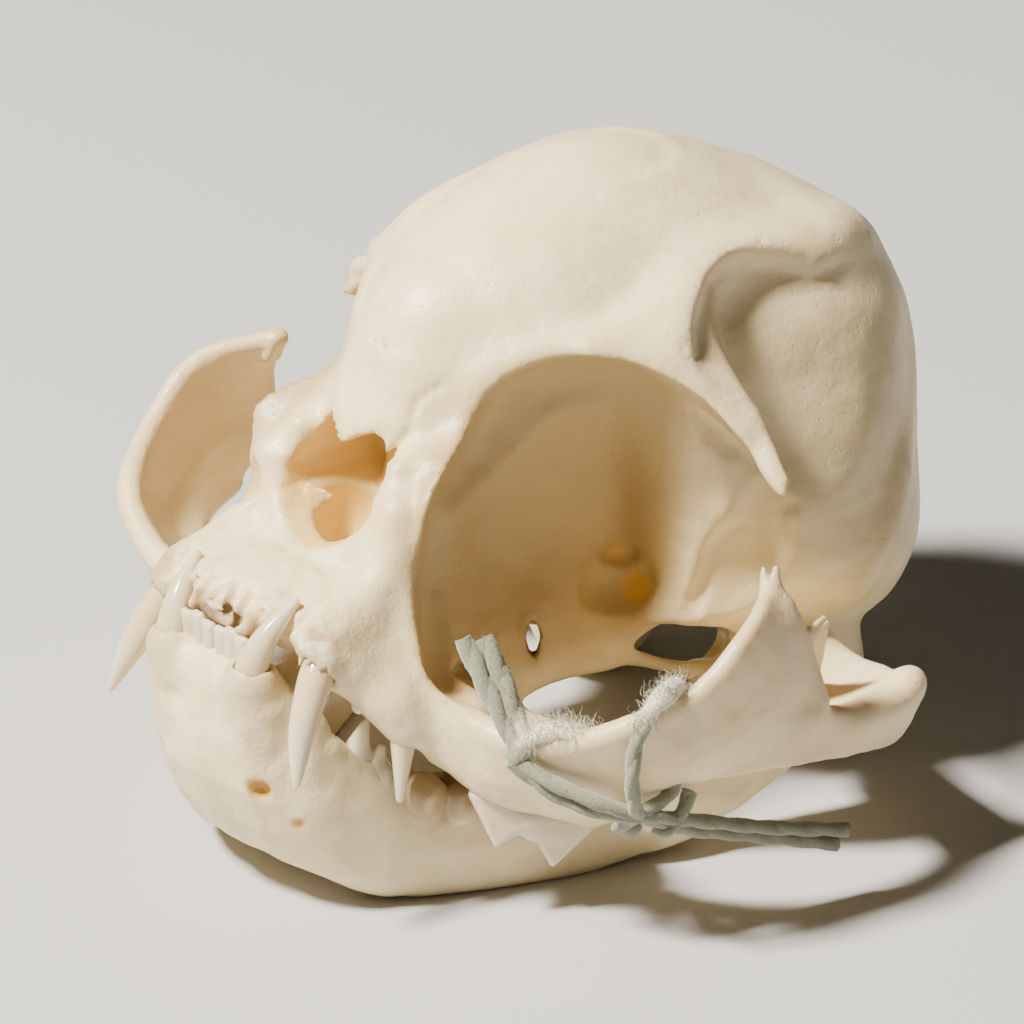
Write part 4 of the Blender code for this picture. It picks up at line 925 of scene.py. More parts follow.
def nose_details(clay, side):
    # seam between the nasal bone and the upper jaw, open where it meets the nasal opening
    if side > 0:
        groove(clay, [(4.9, -18.4, 38.6), (4.4, -20.7, 37.6), (4.9, -22.2, 36.0)], 0.45, 0.5)
    groove(clay, [(3.2, -14.0, 41.6), (3.6, -16.4, 40.4), (4.4, -17.6, 39.4)], 0.4, 0.25)
    groove(clay, [(0.0, -13.0, 43.0), (0.0, -17.0, 39.4), (0.0, -20.4, 37.6)], 0.4, 0.25)
    # seam between the bone that carried the front teeth and the upper jaw
    groove(clay, [(6.6, -26.6, 31.0), (7.2, -29.4, 29.4), (7.6, -32.0, 28.4), (7.4, -34.4, 26.4)],
           0.6, 0.35)
    # torn edge of the thin bone beside the opening
    edge = limb([(1.2, -20.6, 37.4, 1.0), (3.4, -20.0, 37.6, 1.0), (5.6, -22.6, 34.0, 1.0)])
    clay.roughen(0.35, 0.8, 11, edge, 0.8)
    # thin scrolls of bone inside the nose
    if side > 0:
        clay.add(web((0.6, -20.8, 36.6, 0.2), (2.4, -19.8, 36.5, 0.2), (0.9, -20.0, 35.0, 0.2)), 0.1)
    else:
        clay.add(web((4.8, -21.8, 32.0, 0.2), (2.4, -20.4, 31.0, 0.2), (3.4, -21.2, 29.6, 0.2)), 0.1)
    clay.add(sheet([[(3.4, -14.5, 37.5, 0.4), (2.4, -14.0, 33.0, 0.4), (3.8, -14.0, 29.0, 0.4)],
                    [(1.0, -12.5, 37.5, 0.4), (1.0, -12.5, 33.0, 0.4), (1.0, -12.5, 29.0, 0.4)]], 3), 0.3)


FRONT_SOCKETS = [(0.9, -35.0, 26.2), (2.4, -34.8, 26.1), (4.3, -34.6, 25.8), (6.4, -34.0, 25.6)]


def front_of_upper_jaw(clay):
    """Where the small front teeth fell out, and the rough bone round their sockets."""
    clay.carve(ball((0.6, -35.4, 25.2), (1.9, 2.4, 1.5)), 0.4)
    for x, y, z in FRONT_SOCKETS:
        root = [(x, y - 0.6, z - 1.6, 0.75), (x, y + 0.4, z + 0.4, 0.6), (x, y + 1.6, z + 1.8, 0.3)]
        clay.carve(limb(root), 0.3)
    # broken edge over the canine's root
    dishes(clay, [(10.4, -33.2, 26.9)], 1.3, 0.35)
    clay.roughen(0.3, 0.7, 5, ball((9.6, -32.6, 25.4), (2.8, 2.6, 3.2)), 1.0)
    clay.roughen(0.38, 1.1, 3, ball((0, -34.4, 26.4), (12.0, 3.6, 4.6)), 2.0)
    clay.roughen(0.24, 1.0, 4, ball((0, -31.0, 28.0), (11.0, 7.0, 6.0)), 3.0)


def jaw_details(clay, side):
    # nerve holes of the chin
    dishes(clay, [(6.2, -35.9, 12.4)], 0.85, 0.85)
    dishes(clay, [(8.4, -33.4, 9.3)], 0.42, 0.3)
    if side < 0:
        dishes(clay, [(2.8, -37.6, 18.0)], 0.8, 0.3)
    # empty socket of the big lower cheek tooth, with what is left of the root in it
    clay.carve(ball((13.8, -23.4, 11.2), (3.0, 3.0, 2.6), (0, 0, -30)), 0.3)
    clay.carve(ball((15.2, -20.4, 10.4), (2.0, 2.4, 2.0)), 0.3)
    clay.add(ball((13.3, -24.2, 10.2), (2.1, 1.9, 2.4), (20, 0, 0)), 0.3)
    clay.add(ball((14.6, -21.4, 9.4), (1.5, 1.5, 1.9), (20, 0, 0)), 0.3)
    clay.roughen(0.26, 1.0, 9, ball((13.6, -22.8, 10.6), (3.6, 3.6, 3.0)), 1.0)
    clay.roughen(0.2, 1.5, 7, ball((5.0, -34.0, 17.0), (9.5, 6.0, 6.0)), 3.0)
    gum_line = limb([(8.5, -30.0, 12.0, 3.5), (13.0, -22.0, 9.4, 3.0), (17.0, -12.0, 9.0, 2.4)])
    clay.roughen(0.25, 1.6, 8, gum_line, 2.0)


def uneven(clay, seed):
    """The whole surface, a little uneven at three sizes."""
    clay.roughen(0.12, 6.0, seed)
    clay.roughen(0.05, 2.2, seed + 1)
    clay.roughen(0.03, 0.9, seed + 2)


print("pin holes in each brow:", len(BROW_PITS))

# %% [markdown]
# Now each half is modelled from start to end: big masses, carves, thin rims, small holes, and last the
# unevenness and the sockets of the canines, which are a hair wider than the teeth. The order matters,
# because a carve also cuts what was added before it.

# %% Both halves of the cranium and of the jaw
SOCKET_GAP = 0.05
CRANIUM_BOX = ((0, -42, -1), (39, 38, 60))
JAW_BOX = ((0, -42, -1), (39, 20, 34))


def cranium_half(side):
    clay = Clay(*CRANIUM_BOX, BONE_STEP)
    masses(clay)
    upper_jaw(clay)
    orbit(clay)
    cheek_arch(clay, side)
    base(clay)
    nose_and_temple(clay)
    brow(clay, side)
    orbit_holes(clay)
    nose_details(clay, side)
    front_of_upper_jaw(clay)
    uneven(clay, 20 + side)
    pits(clay, BROW_PITS, 0.28)
    clay.carve(grown(limb(UPPER_CANINE), SOCKET_GAP), 0)
    trim_below(clay, 0)
    return clay


def jaw_half(side):
    clay = Clay(*JAW_BOX, BONE_STEP)
    jaw(clay)
    jaw_details(clay, side)
    uneven(clay, 40)
    clay.carve(grown(limb(LOWER_CANINE), SOCKET_GAP), 0)
    trim_below(clay, 0)
    return clay


skull_left = cranium_half(1)
skull_right = cranium_half(-1)
jaw_left = jaw_half(1)
jaw_right = jaw_half(-1)
print("clay grid of one half of the cranium:", skull_left.field.shape)

# %% [markdown]
# ## From clay to bone
# Now the clay becomes mesh. The cranium is one piece, so that no seam shows, and it stands for four
# solids of the frame. The two halves of the jaw have grown together at the chin, so the jaw is one
# piece too.

# %% Cast the bones
skull_clay = mirrored(skull_left, skull_right)
cranium = cast_clay("cranium", skull_clay)
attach(cranium, "root")
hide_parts("braincase", "face", "cheekbone_left", "cheekbone_right")

jaw_clay = mirrored(jaw_left, jaw_right)
jaw_bone = cast_clay("jaw_bone", jaw_clay)
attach(jaw_bone, "root")
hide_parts("jaw_left", "jaw_right")

# %% [markdown]
# ## Canines with operators
# A canine is a long curved cone. A lump of clay could make it, but its smooth gloss would show every
# step of the grid. Add a circle at the root, extrude it ring by ring along the tooth's curve, and let a
# Subdivision Surface round it. Each ring is turned to face along the curve.

# %% Canines
TOOTH_SIDES = 16
# How far from its tip the enamel's paler colour reaches
TIP_LENGTH = 9.0


def swept_tooth(name, route, sign):
    """A tooth with round sections that follow a route of x, y, z and radius."""
    rings = spaced(route, 4)
    rings[:, 0] *= sign
    deselect()
    bpy.ops.mesh.primitive_circle_add(vertices=TOOTH_SIDES, radius=1, fill_type="NGON")
    tooth = bpy.context.active_object
    tooth.name = name
    bpy.ops.object.mode_set(mode="EDIT")
    for _ in rings[1:]:
        bpy.ops.mesh.extrude_region_move(TRANSFORM_OT_translate={"value": (0, 0, 1)})
    bpy.ops.object.mode_set(mode="OBJECT")
    work = bmesh.new()
    work.from_mesh(tooth.data)
    for vert in work.verts:
        level = int(round(vert.co.z))
        before = rings[max(level - 1, 0)][:3]
        after = rings[min(level + 1, len(rings) - 1)][:3]
        turn = Vector(after - before).to_track_quat("Z", "Y")
        flat = Vector((vert.co.x, vert.co.y, 0)) * rings[level][3]
        vert.co = (Vector(rings[level][:3]) + turn @ flat + Vector((0, TO_MIDDLE, 0))) * MM
    # the operator that turns faces outwards reads their normals, so these are brought up to date first
    work.normal_update()
    bmesh.ops.recalc_face_normals(work, faces=work.faces)
    work.to_mesh(tooth.data)
    work.free()
    activate(tooth)
    smoother = tooth.modifiers.new("Round", "SUBSURF")
    smoother.levels = smoother.render_levels = 2
    bpy.ops.object.modifier_apply(modifier=smoother.name)
    bpy.ops.object.shade_smooth()
    tip = np.array(route[-1][:3]) * (sign, 1, 1)
    paint(tooth, "tip", 1.2 - np.linalg.norm(form_points(tooth) - tip, axis=1) / TIP_LENGTH)
    return tooth


teeth = []
for where, route in (("upper", UPPER_CANINE), ("lower", LOWER_CANINE)):
    for side, sign in (("left", 1), ("right", -1)):
        tooth = swept_tooth(f"canine_tooth_{where}_{side}", route, sign)
        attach(tooth, "root")
        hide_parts(f"canine_{where}_{side}")
        teeth.append(tooth)
print("canines:", [tooth.name for tooth in teeth])

# %% [markdown]
# The cheek teeth are short, with ridges and several points, and the front teeth have two lobes each.
# Sweeping rings can't branch, so these are lumps of clay again, on a grid fine enough for sharp tips.

# %% Cheek teeth and lower front teeth


def tooth_row(name, form, low, high, blend):
    """Teeth on both sides, each row cast from fine clay in a box between low and high."""
    made = []
    for side, sign in (("left", 1), ("right", -1)):
        shape = form if sign > 0 else mirrored_form(form)
        x = sorted((sign * low[0], sign * high[0]))
        clay = Clay((x[0], low[1], low[2]), (x[1], high[1], high[2]), TOOTH_STEP)
        for piece in shape:
            clay.add([piece], blend)
        row = new_piece(f"{name}_{side}", clay_mesh(f"{name}_{side}", clay))
        activate(row)
        bpy.ops.object.shade_smooth()
        tips = np.array([piece[1] for piece in shape] + [piece[0] for piece in shape])
        far = np.abs(form_points(row)[:, None, 2] - tips[None, :, 2]).min(axis=1)
        paint(row, "tip", 1.1 - far / 4.0)
        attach(row, "root")
        made.append(row)
    return made


teeth += tooth_row("cheek_teeth_upper", upper_cheek_teeth(), (8, -32, 1), (26, -12, 24), 1.0)
teeth += tooth_row("cheek_teeth_lower", lower_cheek_teeth(), (5, -31, 7), (18, -13, 19), 0.8)
teeth += tooth_row("front_teeth_lower", lower_incisors(), (-0.2, -38, 18), (5, -32, 27), 0.25)
print("teeth:", len(teeth))

# %% [markdown]
# ## Twine
# The jaw of a prepared skull is often tied on. This tie is soft cotton twine of two plies round the
# left cheek arch. A plain tube would look like wire. So each strand is a curve through a few points,
# and its two plies are curves with a round section that wind round it.

# %% Strands
TWINE_RADIUS = 0.65


def twine_route():
    """Every strand of the twine round the left cheek arch, each point x, y, z and radius."""
    r = TWINE_RADIUS
    knot = (23.3, -23.4, 17.2)
    meet = (31.3, -16.9, 12.9)
    return [
        # two cut ends that stand up from the front knot
        [(*knot, r), (23.1, -23.1, 18.0, r), (21.1, -23.3, 21.1, r * 1.25), (19.2, -23.5, 23.7, r * 1.3),
         (17.4, -23.6, 26.1, r * 1.25)],
        [(*knot, r), (23.7, -22.5, 18.2, r), (22.0, -22.2, 21.0, r * 1.25), (20.3, -22.2, 23.6, r * 1.3),
         (18.5, -22.3, 26.1, r * 1.25)],
        # front loop over the rim, round behind the arch and back under it
        [(*knot, r * 1.4), (24.4, -22.2, 19.3, r * 1.2), (26.2, -20.9, 20.1, r * 1.4),
         (28.2, -19.8, 19.8, r * 1.2), (28.2, -16.8, 16.6, r), (26.6, -13.2, 12.0, r),
         (27.0, -13.4, 8.9, r), (28.6, -16.6, 10.8, r), (*meet, r)],
        # the run along the front of the arch to where the side loop crosses it
        [(*knot, r * 1.4), (26.0, -21.6, 14.6, r), (29.0, -19.6, 13.4, r), (*meet, r * 1.2)],
        [(*knot, r), (26.4, -22.0, 15.8, r), (29.6, -19.8, 14.4, r), (*meet, r)],
        # side loop
        [(*meet, r), (32.2, -18.2, 14.8, r), (32.8, -19.0, 17.6, r), (33.0, -18.8, 20.6, r),
         (33.2, -17.6, 23.0, r * 1.2), (33.4, -15.8, 24.4, r * 1.4), (32.4, -13.6, 23.6, r * 1.3),
         (31.6, -13.4, 19.4, r), (31.2, -13.0, 14.0, r), (*meet, r)],
        # small hook, then the two cut ends that point back
        [(31.9, -11.7, 13.6, r), (31.9, -12.6, 11.9, r), (31.4, -13.9, 10.6, r), (30.6, -14.6, 10.8, r)],
        [(*meet, r), (32.0, -11.6, 10.9, r), (33.8, -4.4, 8.4, r), (35.7, 2.6, 6.5, r)],
        [(*meet, r), (31.4, -11.6, 9.9, r), (33.4, -4.4, 7.4, r), (35.3, 1.8, 5.3, r)],
    ]


# Length of one turn of the plies in mm, how far each lies from the middle and how thick it is, as parts
# of the strand's radius, and how uneven
TWIST = 6.5
PLY_APART = 0.18
PLY_THICK = 0.86
WOOLLY = 0.03


def wound_ply(strand, start):
    """Points of one ply that winds round a strand, each x, y, z and radius."""
    curve = spaced(strand, 10)
    uneven_by = np.random.default_rng(len(curve)).uniform(-WOOLLY, WOOLLY, len(curve))
    along = np.concatenate([[0], np.cumsum(np.linalg.norm(np.diff(curve[:, :3], axis=0), axis=1))])
    made = []
    side = None
    for i, point in enumerate(curve):
        ahead = curve[min(i + 1, len(curve) - 1), :3] - curve[max(i - 1, 0), :3]
        ahead /= np.linalg.norm(ahead)
        side = np.cross(ahead, (0.3, 0.2, 1.0)) if side is None else side - ahead * (side @ ahead)
        side /= np.linalg.norm(side)
        up = np.cross(ahead, side)
        angle = start + 2 * math.pi * along[i] / TWIST
        out = (side * math.cos(angle) + up * math.sin(angle)) * point[3] * PLY_APART
        made.append((*(point[:3] + out), point[3] * (PLY_THICK + uneven_by[i])))
    return made


def tube(points, name):
    """A curve with round section through points, in metres."""
    data = bpy.data.curves.new(name, "CURVE")
    data.dimensions = "3D"
    data.bevel_depth = MM
    data.bevel_resolution = 2
    data.use_fill_caps = True
    line = data.splines.new("POLY")
    line.points.add(len(points) - 1)
    for spot, (x, y, z, r) in zip(line.points, points):
        spot.co = (x * MM, (y + TO_MIDDLE) * MM, z * MM, 1)
        spot.radius = r
    return new_piece(name, data)


print("strands of twine:", len(twine_route()))

# %% [markdown]
# Cotton is woolly. Thousands of hairs stand off it, most of them where it rubs on the rim. Hair
# particles would be lost in an exported model, so each hair is a thin tube with three sides that wanders
# a little at each ring.

# %% Loose fibres and the whole tie
FIBRES = 3200
FIBRE_RADIUS = 0.025
RINGS = 6
FIBRE_TAPER = 0.12


def fibre_start(chance, strands, count):
    """Where a fibre grows from and how long it is: most stand where the twine crosses the rim."""
    hump, side_loop, ends = strands[2], strands[5], strands[:2]
    where = count % 10
    if where < 3:
        return hump, chance.uniform(0.08, 0.44), chance.uniform(0.8, 3.4)
    if where < 5:
        return side_loop, chance.uniform(0.38, 0.68), chance.uniform(0.8, 3.0)
    if where < 6:
        return ends[count % 2], chance.uniform(0.3, 1.0), chance.uniform(0.4, 1.1)
    return strands[chance.integers(len(strands))], chance.uniform(0.0, 1.0), chance.uniform(0.3, 1.0)


def volume(points, faces):
    """Six times the volume inside closed faces, negative where they point inwards."""
    total = 0.0
    for face in faces:
        corners = np.array([points[i] for i in face]) - points[faces[0][0]]
        for b, c in zip(corners[1:], corners[2:]):
            total += corners[0] @ np.cross(b, c)
    return total


def loose_fibres():
    """Thin curly hairs that stand off the twine."""
    chance = np.random.default_rng(5)
    strands = [spaced(strand, 10) for strand in twine_route()]
    points, faces = [], []
    for count in range(FIBRES):
        strand, part, long = fibre_start(chance, strands, count)
        spot = strand[int(part * (len(strand) - 1))]
        way = chance.normal(size=3) + (0.0, 0.0, 0.3)
        way /= np.linalg.norm(way)
        place = spot[:3] + way * spot[3] * 0.8
        first = len(points)
        for ring in range(RINGS):
            for corner in range(3):
                angle = 2 * math.pi * corner / 3
                across = np.array((math.cos(angle), math.sin(angle), 0.3 * math.cos(angle)))
                points.append(place + across * FIBRE_RADIUS * (1 - FIBRE_TAPER * ring))
            way = way + chance.normal(size=3) * 0.95
            way /= np.linalg.norm(way)
            place = place + way * long / RINGS
        last = first + 3 * (RINGS - 1)
        fibre = [(first + 2, first + 1, first), (last, last + 1, last + 2)]
        for low in range(first, last, 3):
            for corner in range(3):
                a, b = low + corner, low + (corner + 1) % 3
                fibre.append((a, b, b + 3, a + 3))
        # a hair that hangs down would be inside out
        outwards_already = volume(points, fibre) > 0
        faces += fibre if outwards_already else [face[::-1] for face in fibre]
    mesh = bpy.data.meshes.new("fibres")
    mesh.from_pydata([(x * MM, (y + TO_MIDDLE) * MM, z * MM) for x, y, z in points], [], faces)
    return new_piece("fibres", mesh)


def twine():
    plies = [
        tube(wound_ply(strand, start), "ply")
        for strand in twine_route()
        for start in (0.0, math.pi)
    ]
    deselect()
    for ply in plies:
        ply.select_set(True)
    bpy.context.view_layer.objects.active = plies[0]
    bpy.ops.object.convert(target="MESH")
    loose_fibres().select_set(True)
    bpy.ops.object.join()
    made = bpy.context.active_object
    made.name = "twine"
    made.data.name = "twine"
    bpy.ops.object.shade_smooth()
    return made


tie = twine()
CREAM_PATCHES = (limb([(24.6, -22.0, 19.6, 0.9), (28.2, -19.8, 20.2, 0.9)])
                 + limb([(33.2, -17.0, 23.6, 0.9), (32.6, -14.0, 24.2, 0.9)]))
paint(tie, "cream", near_form(tie, CREAM_PATCHES, 1.6))
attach(tie, "root")
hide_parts("twine_tie")
print("twine:", len(tie.data.polygons), "faces")

# %% [markdown]
# ## Where the colours change
# Light and shade are painted into the bone's colour. Where a wall is thin and light comes through, it is
# painted warm: darker tan deep in the orbits, where painted shade joins it, ochre inside the nose and orange
# in the nerve holes. Old sockets hold a brown stain, with painted shade in them and in the slit. Hollows get
# painted shade in brown, and the temple is browner too, partly a stain and partly painted shade. An image
# would have to be painted and unwrapped. Instead each of these places is a form, and each vertex keeps how
# near it is to that form as a number that the material reads.

# %% Masks for the bone
HOLLOW_BLURS = 6


def both_sides(form):
    return form + mirrored_form(form)


def hollows(piece, clay):
    """How deep each vertex lies in a hollow, from the clay and a blurred copy of it."""
    soft = blurred(clay.field, HOLLOW_BLURS)
    return values_at(clay, soft - clay.field, form_points(piece)) / clay.step


# The wall deep in each orbit, where painted light through the thin bone and painted shade make the colour
# darker and warmer.
ORBIT_WALL = both_sides(
    sheet([[(10.0, -19.0, 35.0, 2.0), (9.4, -12.0, 40.0, 2.2), (11.6, -4.0, 42.0, 2.2),
            (13.6, 0.6, 40.0, 1.6)],
           [(10.6, -21.0, 28.0, 2.0), (7.6, -12.0, 30.0, 2.6), (7.6, -4.0, 30.0, 2.6),
            (11.6, 1.6, 30.0, 1.8)],
           [(13.5, -21.0, 21.0, 2.0), (9.5, -12.0, 20.0, 2.6), (8.0, -4.0, 19.0, 2.6),
            (9.4, 3.6, 19.0, 2.6)]], 3, 2)
)
# Inside the nose, painted ochre as light through the thin bone, with a weak painted glow.
NOSE_INSIDE = tunnel(NOSE_OUTLINE, -25.2, NOSE_BACK) + NOSE_FLOOR
# Nerve holes in the orbits and the chin, painted orange as light through thin bone, with a weak painted glow.
NERVE_GLOW = both_sides([ball(centre, (radius,) * 3)[0] for centre, radius in NERVE_HOLES])
# Old sockets and the slit deep in the orbit, painted brown: partly a stain, partly painted shade.
OLD_SOCKETS = both_sides(
    ball((10.4, -33.4, 26.9), (1.1, 1.1, 1.2))
    + limb([(9.5, -8.8, 16.9, 0.3), (9.5, -8.8, 19.4, 0.3)])
    + ball((13.8, -23.2, 10.4), (2.6, 3.0, 2.2))
    + ball((14.8, -20.6, 10.4), (1.2, 1.2, 1.2))
    + limb([(0.0, -34.0, 25.4, 0.6), (4.0, -33.6, 25.0, 0.6)])
)
JAW_HOLES = both_sides(ball((6.2, -36.0, 12.4), (0.8, 1.6, 0.8)) + ball((8.4, -33.4, 9.3), (0.35, 0.9, 0.35)))
# The temple, browner in streaks: partly a stain, partly painted shade.
TEMPLE_BONE = both_sides(
    sheet([[(18.2, 5.0, 44.0, 2.0), (17.4, 12.0, 45.5, 2.0), (17.0, 19.0, 43.0, 2.0)],
           [(22.0, 6.5, 36.0, 2.0), (22.0, 14.0, 36.0, 2.0), (19.5, 22.0, 36.0, 2.0)],
           [(22.0, 8.0, 24.0, 2.0), (22.0, 14.0, 24.0, 2.0), (20.6, 22.0, 24.0, 2.0)]], 3, 2)
)
ROUGH_BONE = both_sides(ball((3.0, -32.0, 27.0), (9.0, 6.0, 5.0)) + ball((6.0, -34.0, 18.0), (5.0, 3.0, 5.0)))

for piece, clay in ((cranium, skull_clay), (jaw_bone, jaw_clay)):
    # hollow is painted shade in creases; orbit, nose and glow are painted light through thin bone, with
    # painted shade on the orbit's wall; socket and temple are stains with painted shade
    paint(piece, "hollow", hollows(piece, clay))
    paint(piece, "orbit", near_form(piece, ORBIT_WALL, 2.6))
    paint(piece, "nose", near_form(piece, NOSE_INSIDE, 0.25))
    paint(piece, "glow", near_form(piece, NERVE_GLOW + JAW_HOLES, 0.5))
    paint(piece, "socket", near_form(piece, OLD_SOCKETS, 1.4))
    paint(piece, "rough", near_form(piece, ROUGH_BONE, 3.0))
    paint(piece, "temple", near_form(piece, TEMPLE_BONE, 3.0))
print("masks:", [layer.name for layer in cranium.data.attributes if layer.data_type == "FLOAT"])

# %% [markdown]
# ## Finishes
# Dry bone is cream, slightly see-through, and soft to the light. Teeth are greyer and glassy, and warmer
# near the root. Twine is a dull grey-green. All three need a fine grain, so that is a node group with its
# own size, which each material uses with other values.

# %% Node helpers


def new_material(name):
    """A new material, and its nodes and links."""
    made = bpy.data.materials.new(name)
    made.use_nodes = True
    return made, made.node_tree.nodes, made.node_tree.links


def node(nodes, kind, **values):
    """A new shader node, with its settings and input values."""
    made = nodes.new("ShaderNode" + kind)
    for key, value in values.items():
        if hasattr(made, key):
            setattr(made, key, value)
        else:
            made.inputs[key.replace("_", " ")].default_value = value
    return made


def mask(nodes, name):
    """The number that each vertex keeps under this name."""
    return node(nodes, "Attribute", attribute_name=name).outputs["Fac"]


def mixed(nodes, links, first, second, part):
    """The first and the second colour mixed by part. Each is a socket, a colour or a number."""
    made = nodes.new("ShaderNodeMix")
    made.data_type = "RGBA"
    for value, socket in ((part, made.inputs[0]), (first, made.inputs[6]), (second, made.inputs[7])):
        if isinstance(value, bpy.types.NodeSocket):
            links.new(value, socket)
        else:
            socket.default_value = value if isinstance(value, float) else (*value, 1)
    return made.outputs[2]


def calculated(nodes, links, how, first, second, clamp=False):
    """The result of a Math node."""
    made = node(nodes, "Math", operation=how, use_clamp=clamp)
    for value, socket in ((first, made.inputs[0]), (second, made.inputs[1])):
        if isinstance(value, bpy.types.NodeSocket):
            links.new(value, socket)
        else:
            socket.default_value = value
    return made.outputs[0]


def grain_group():
    """Fine uneven grain: a value for colours and a height for bumps, both at a size in metres."""
    group = bpy.data.node_groups.new("fine grain", "ShaderNodeTree")
    group.interface.new_socket("Size", in_out="INPUT", socket_type="NodeSocketFloat")
    group.interface.new_socket("Value", in_out="OUTPUT", socket_type="NodeSocketFloat")
    group.interface.new_socket("Height", in_out="OUTPUT", socket_type="NodeSocketFloat")
    nodes, links = group.nodes, group.links
    given = nodes.new("NodeGroupInput")
    result = nodes.new("NodeGroupOutput")
    place = nodes.new("ShaderNodeTexCoord").outputs["Object"]
    scale = calculated(nodes, links, "DIVIDE", 1.0, given.outputs["Size"])
    fine = node(nodes, "TexNoise", Detail=5.0, Roughness=0.6)
    broad = node(nodes, "TexNoise", Detail=2.0, Roughness=0.5)
    links.new(place, fine.inputs["Vector"])
    links.new(place, broad.inputs["Vector"])
    links.new(scale, fine.inputs["Scale"])
    links.new(calculated(nodes, links, "MULTIPLY", scale, 0.12), broad.inputs["Scale"])
    links.new(broad.outputs["Fac"], result.inputs["Value"])
    links.new(fine.outputs["Fac"], result.inputs["Height"])
    return group


fine_grain = grain_group()


def grain(nodes, size):
    """Clouds and fine grain of this size in metres."""
    made = nodes.new("ShaderNodeGroup")
    made.node_tree = fine_grain
    made.inputs["Size"].default_value = size
    return made.outputs["Value"], made.outputs["Height"]


print("shared node group:", fine_grain.name)

# %% [markdown]
# Dry bone is not one colour. Mix cream and pale clouds, lay faint streaks over them, and then the masks.
# Where light comes through a thin wall, a faint glow of the wall's own colour helps the subsurface
# scattering. Pores and streaks also make a fine bump, stronger where the bone is rough.

# %% Dry bone
BONE_GRAIN = 0.0006
WALL_GLOW = 0.12


def bone_material():
    made, nodes, links = new_material("dry bone")
    shader = nodes["Principled BSDF"]
    place = nodes.new("ShaderNodeTexCoord").outputs["Object"]
    cloud, height = grain(nodes, BONE_GRAIN)
    # cream with paler clouds
    colour = mixed(nodes, links, BONE_CREAM, BONE_PALE, cloud)
    # long faint streaks as the bone grew
    streaks = node(nodes, "TexNoise", Scale=260.0, Detail=4.0, Distortion=0.6)
    stretch = node(nodes, "Mapping")
    stretch.inputs["Scale"].default_value = (2.2, 0.5, 1.0)
    links.new(place, stretch.inputs["Vector"])
    links.new(stretch.outputs["Vector"], streaks.inputs["Vector"])
    faint = node(nodes, "MapRange", From_Min=0.45, From_Max=0.75, To_Max=0.35)
    links.new(streaks.outputs["Fac"], faint.inputs["Value"])
    colour = mixed(nodes, links, colour, BONE_WARM, faint.outputs["Result"])
    # the temple is browner, in streaks: partly a stain, partly painted shade where it turns away from the
    # light
    temple_stain_and_shade_part = calculated(nodes, links, "MULTIPLY", mask(nodes, "temple"), streaks.outputs["Fac"])
    colour = mixed(nodes, links, colour, TEMPLE_STAIN_AND_SHADE, temple_stain_and_shade_part)
    # painted light through thin walls and painted shade on the orbit's wall, then painted light in the nose
    # and the nerve holes
    orbit_glow_and_shade_part = calculated(nodes, links, "MULTIPLY", mask(nodes, "orbit"), 0.85)
    colour = mixed(nodes, links, colour, THIN_WALL_GLOW_AND_SHADE, orbit_glow_and_shade_part)
    colour = mixed(nodes, links, colour, NOSE_GLOW_OCHRE, mask(nodes, "nose"))
    colour = mixed(nodes, links, colour, HOLE_GLOW_ORANGE, mask(nodes, "glow"))
    # a brown stain and painted shade in old sockets and the slit, and painted shade in hollows
    socket_stain_and_shade_part = calculated(nodes, links, "MULTIPLY", mask(nodes, "socket"), 0.75)
    colour = mixed(nodes, links, colour, SOCKET_STAIN_AND_SHADE, socket_stain_and_shade_part)
    # painted shade: browner and darker the deeper a vertex lies in a crease
    hollow_shade_part = calculated(nodes, links, "MULTIPLY", mask(nodes, "hollow"), 0.55, True)
    colour = mixed(nodes, links, colour, HOLLOW_SHADE_BROWN, hollow_shade_part)
    links.new(colour, shader.inputs["Base Color"])
    # light that comes through the thinnest walls
    shining = mixed(nodes, links, NO_LIGHT, NOSE_GLOW_OCHRE, mask(nodes, "nose"))
    shining = mixed(nodes, links, shining, HOLE_GLOW_ORANGE, mask(nodes, "glow"))
    links.new(shining, shader.inputs["Emission Color"])
    shader.inputs["Emission Strength"].default_value = WALL_GLOW
    gloss = node(nodes, "MapRange", To_Min=0.28, To_Max=0.50)
    links.new(height, gloss.inputs["Value"])
    links.new(gloss.outputs["Result"], shader.inputs["Roughness"])
    # pores are the dark cells of a Voronoi pattern, in clusters
    pores = node(nodes, "TexVoronoi", Scale=1100.0, Randomness=1.0)
    links.new(place, pores.inputs["Vector"])
    pore = node(nodes, "MapRange", From_Min=0.0, From_Max=0.22)
    links.new(pores.outputs["Distance"], pore.inputs["Value"])
    rough_part = calculated(nodes, links, "MULTIPLY_ADD", mask(nodes, "rough"), 0.7)
    rough_part.node.inputs[2].default_value = 0.5
    raised = calculated(nodes, links, "MULTIPLY", height, rough_part)
    low_pores = calculated(nodes, links, "MULTIPLY", pore.outputs["Result"], 0.35)
    low_streaks = calculated(nodes, links, "MULTIPLY", streaks.outputs["Fac"], 0.8)
    surface = calculated(nodes, links, "ADD", raised, low_pores)
    surface = calculated(nodes, links, "ADD", surface, low_streaks)
    bump = node(nodes, "Bump", Strength=0.55, Distance=0.00022)
    links.new(surface, bump.inputs["Height"])
    links.new(bump.outputs["Normal"], shader.inputs["Normal"])
    shader.inputs["Subsurface Weight"].default_value = 0.35
    shader.inputs["Subsurface Radius"].default_value = (1.0, 0.65, 0.35)
    shader.inputs["Subsurface Scale"].default_value = 0.0018
    shader.inputs["Specular IOR Level"].default_value = 0.5
    return made


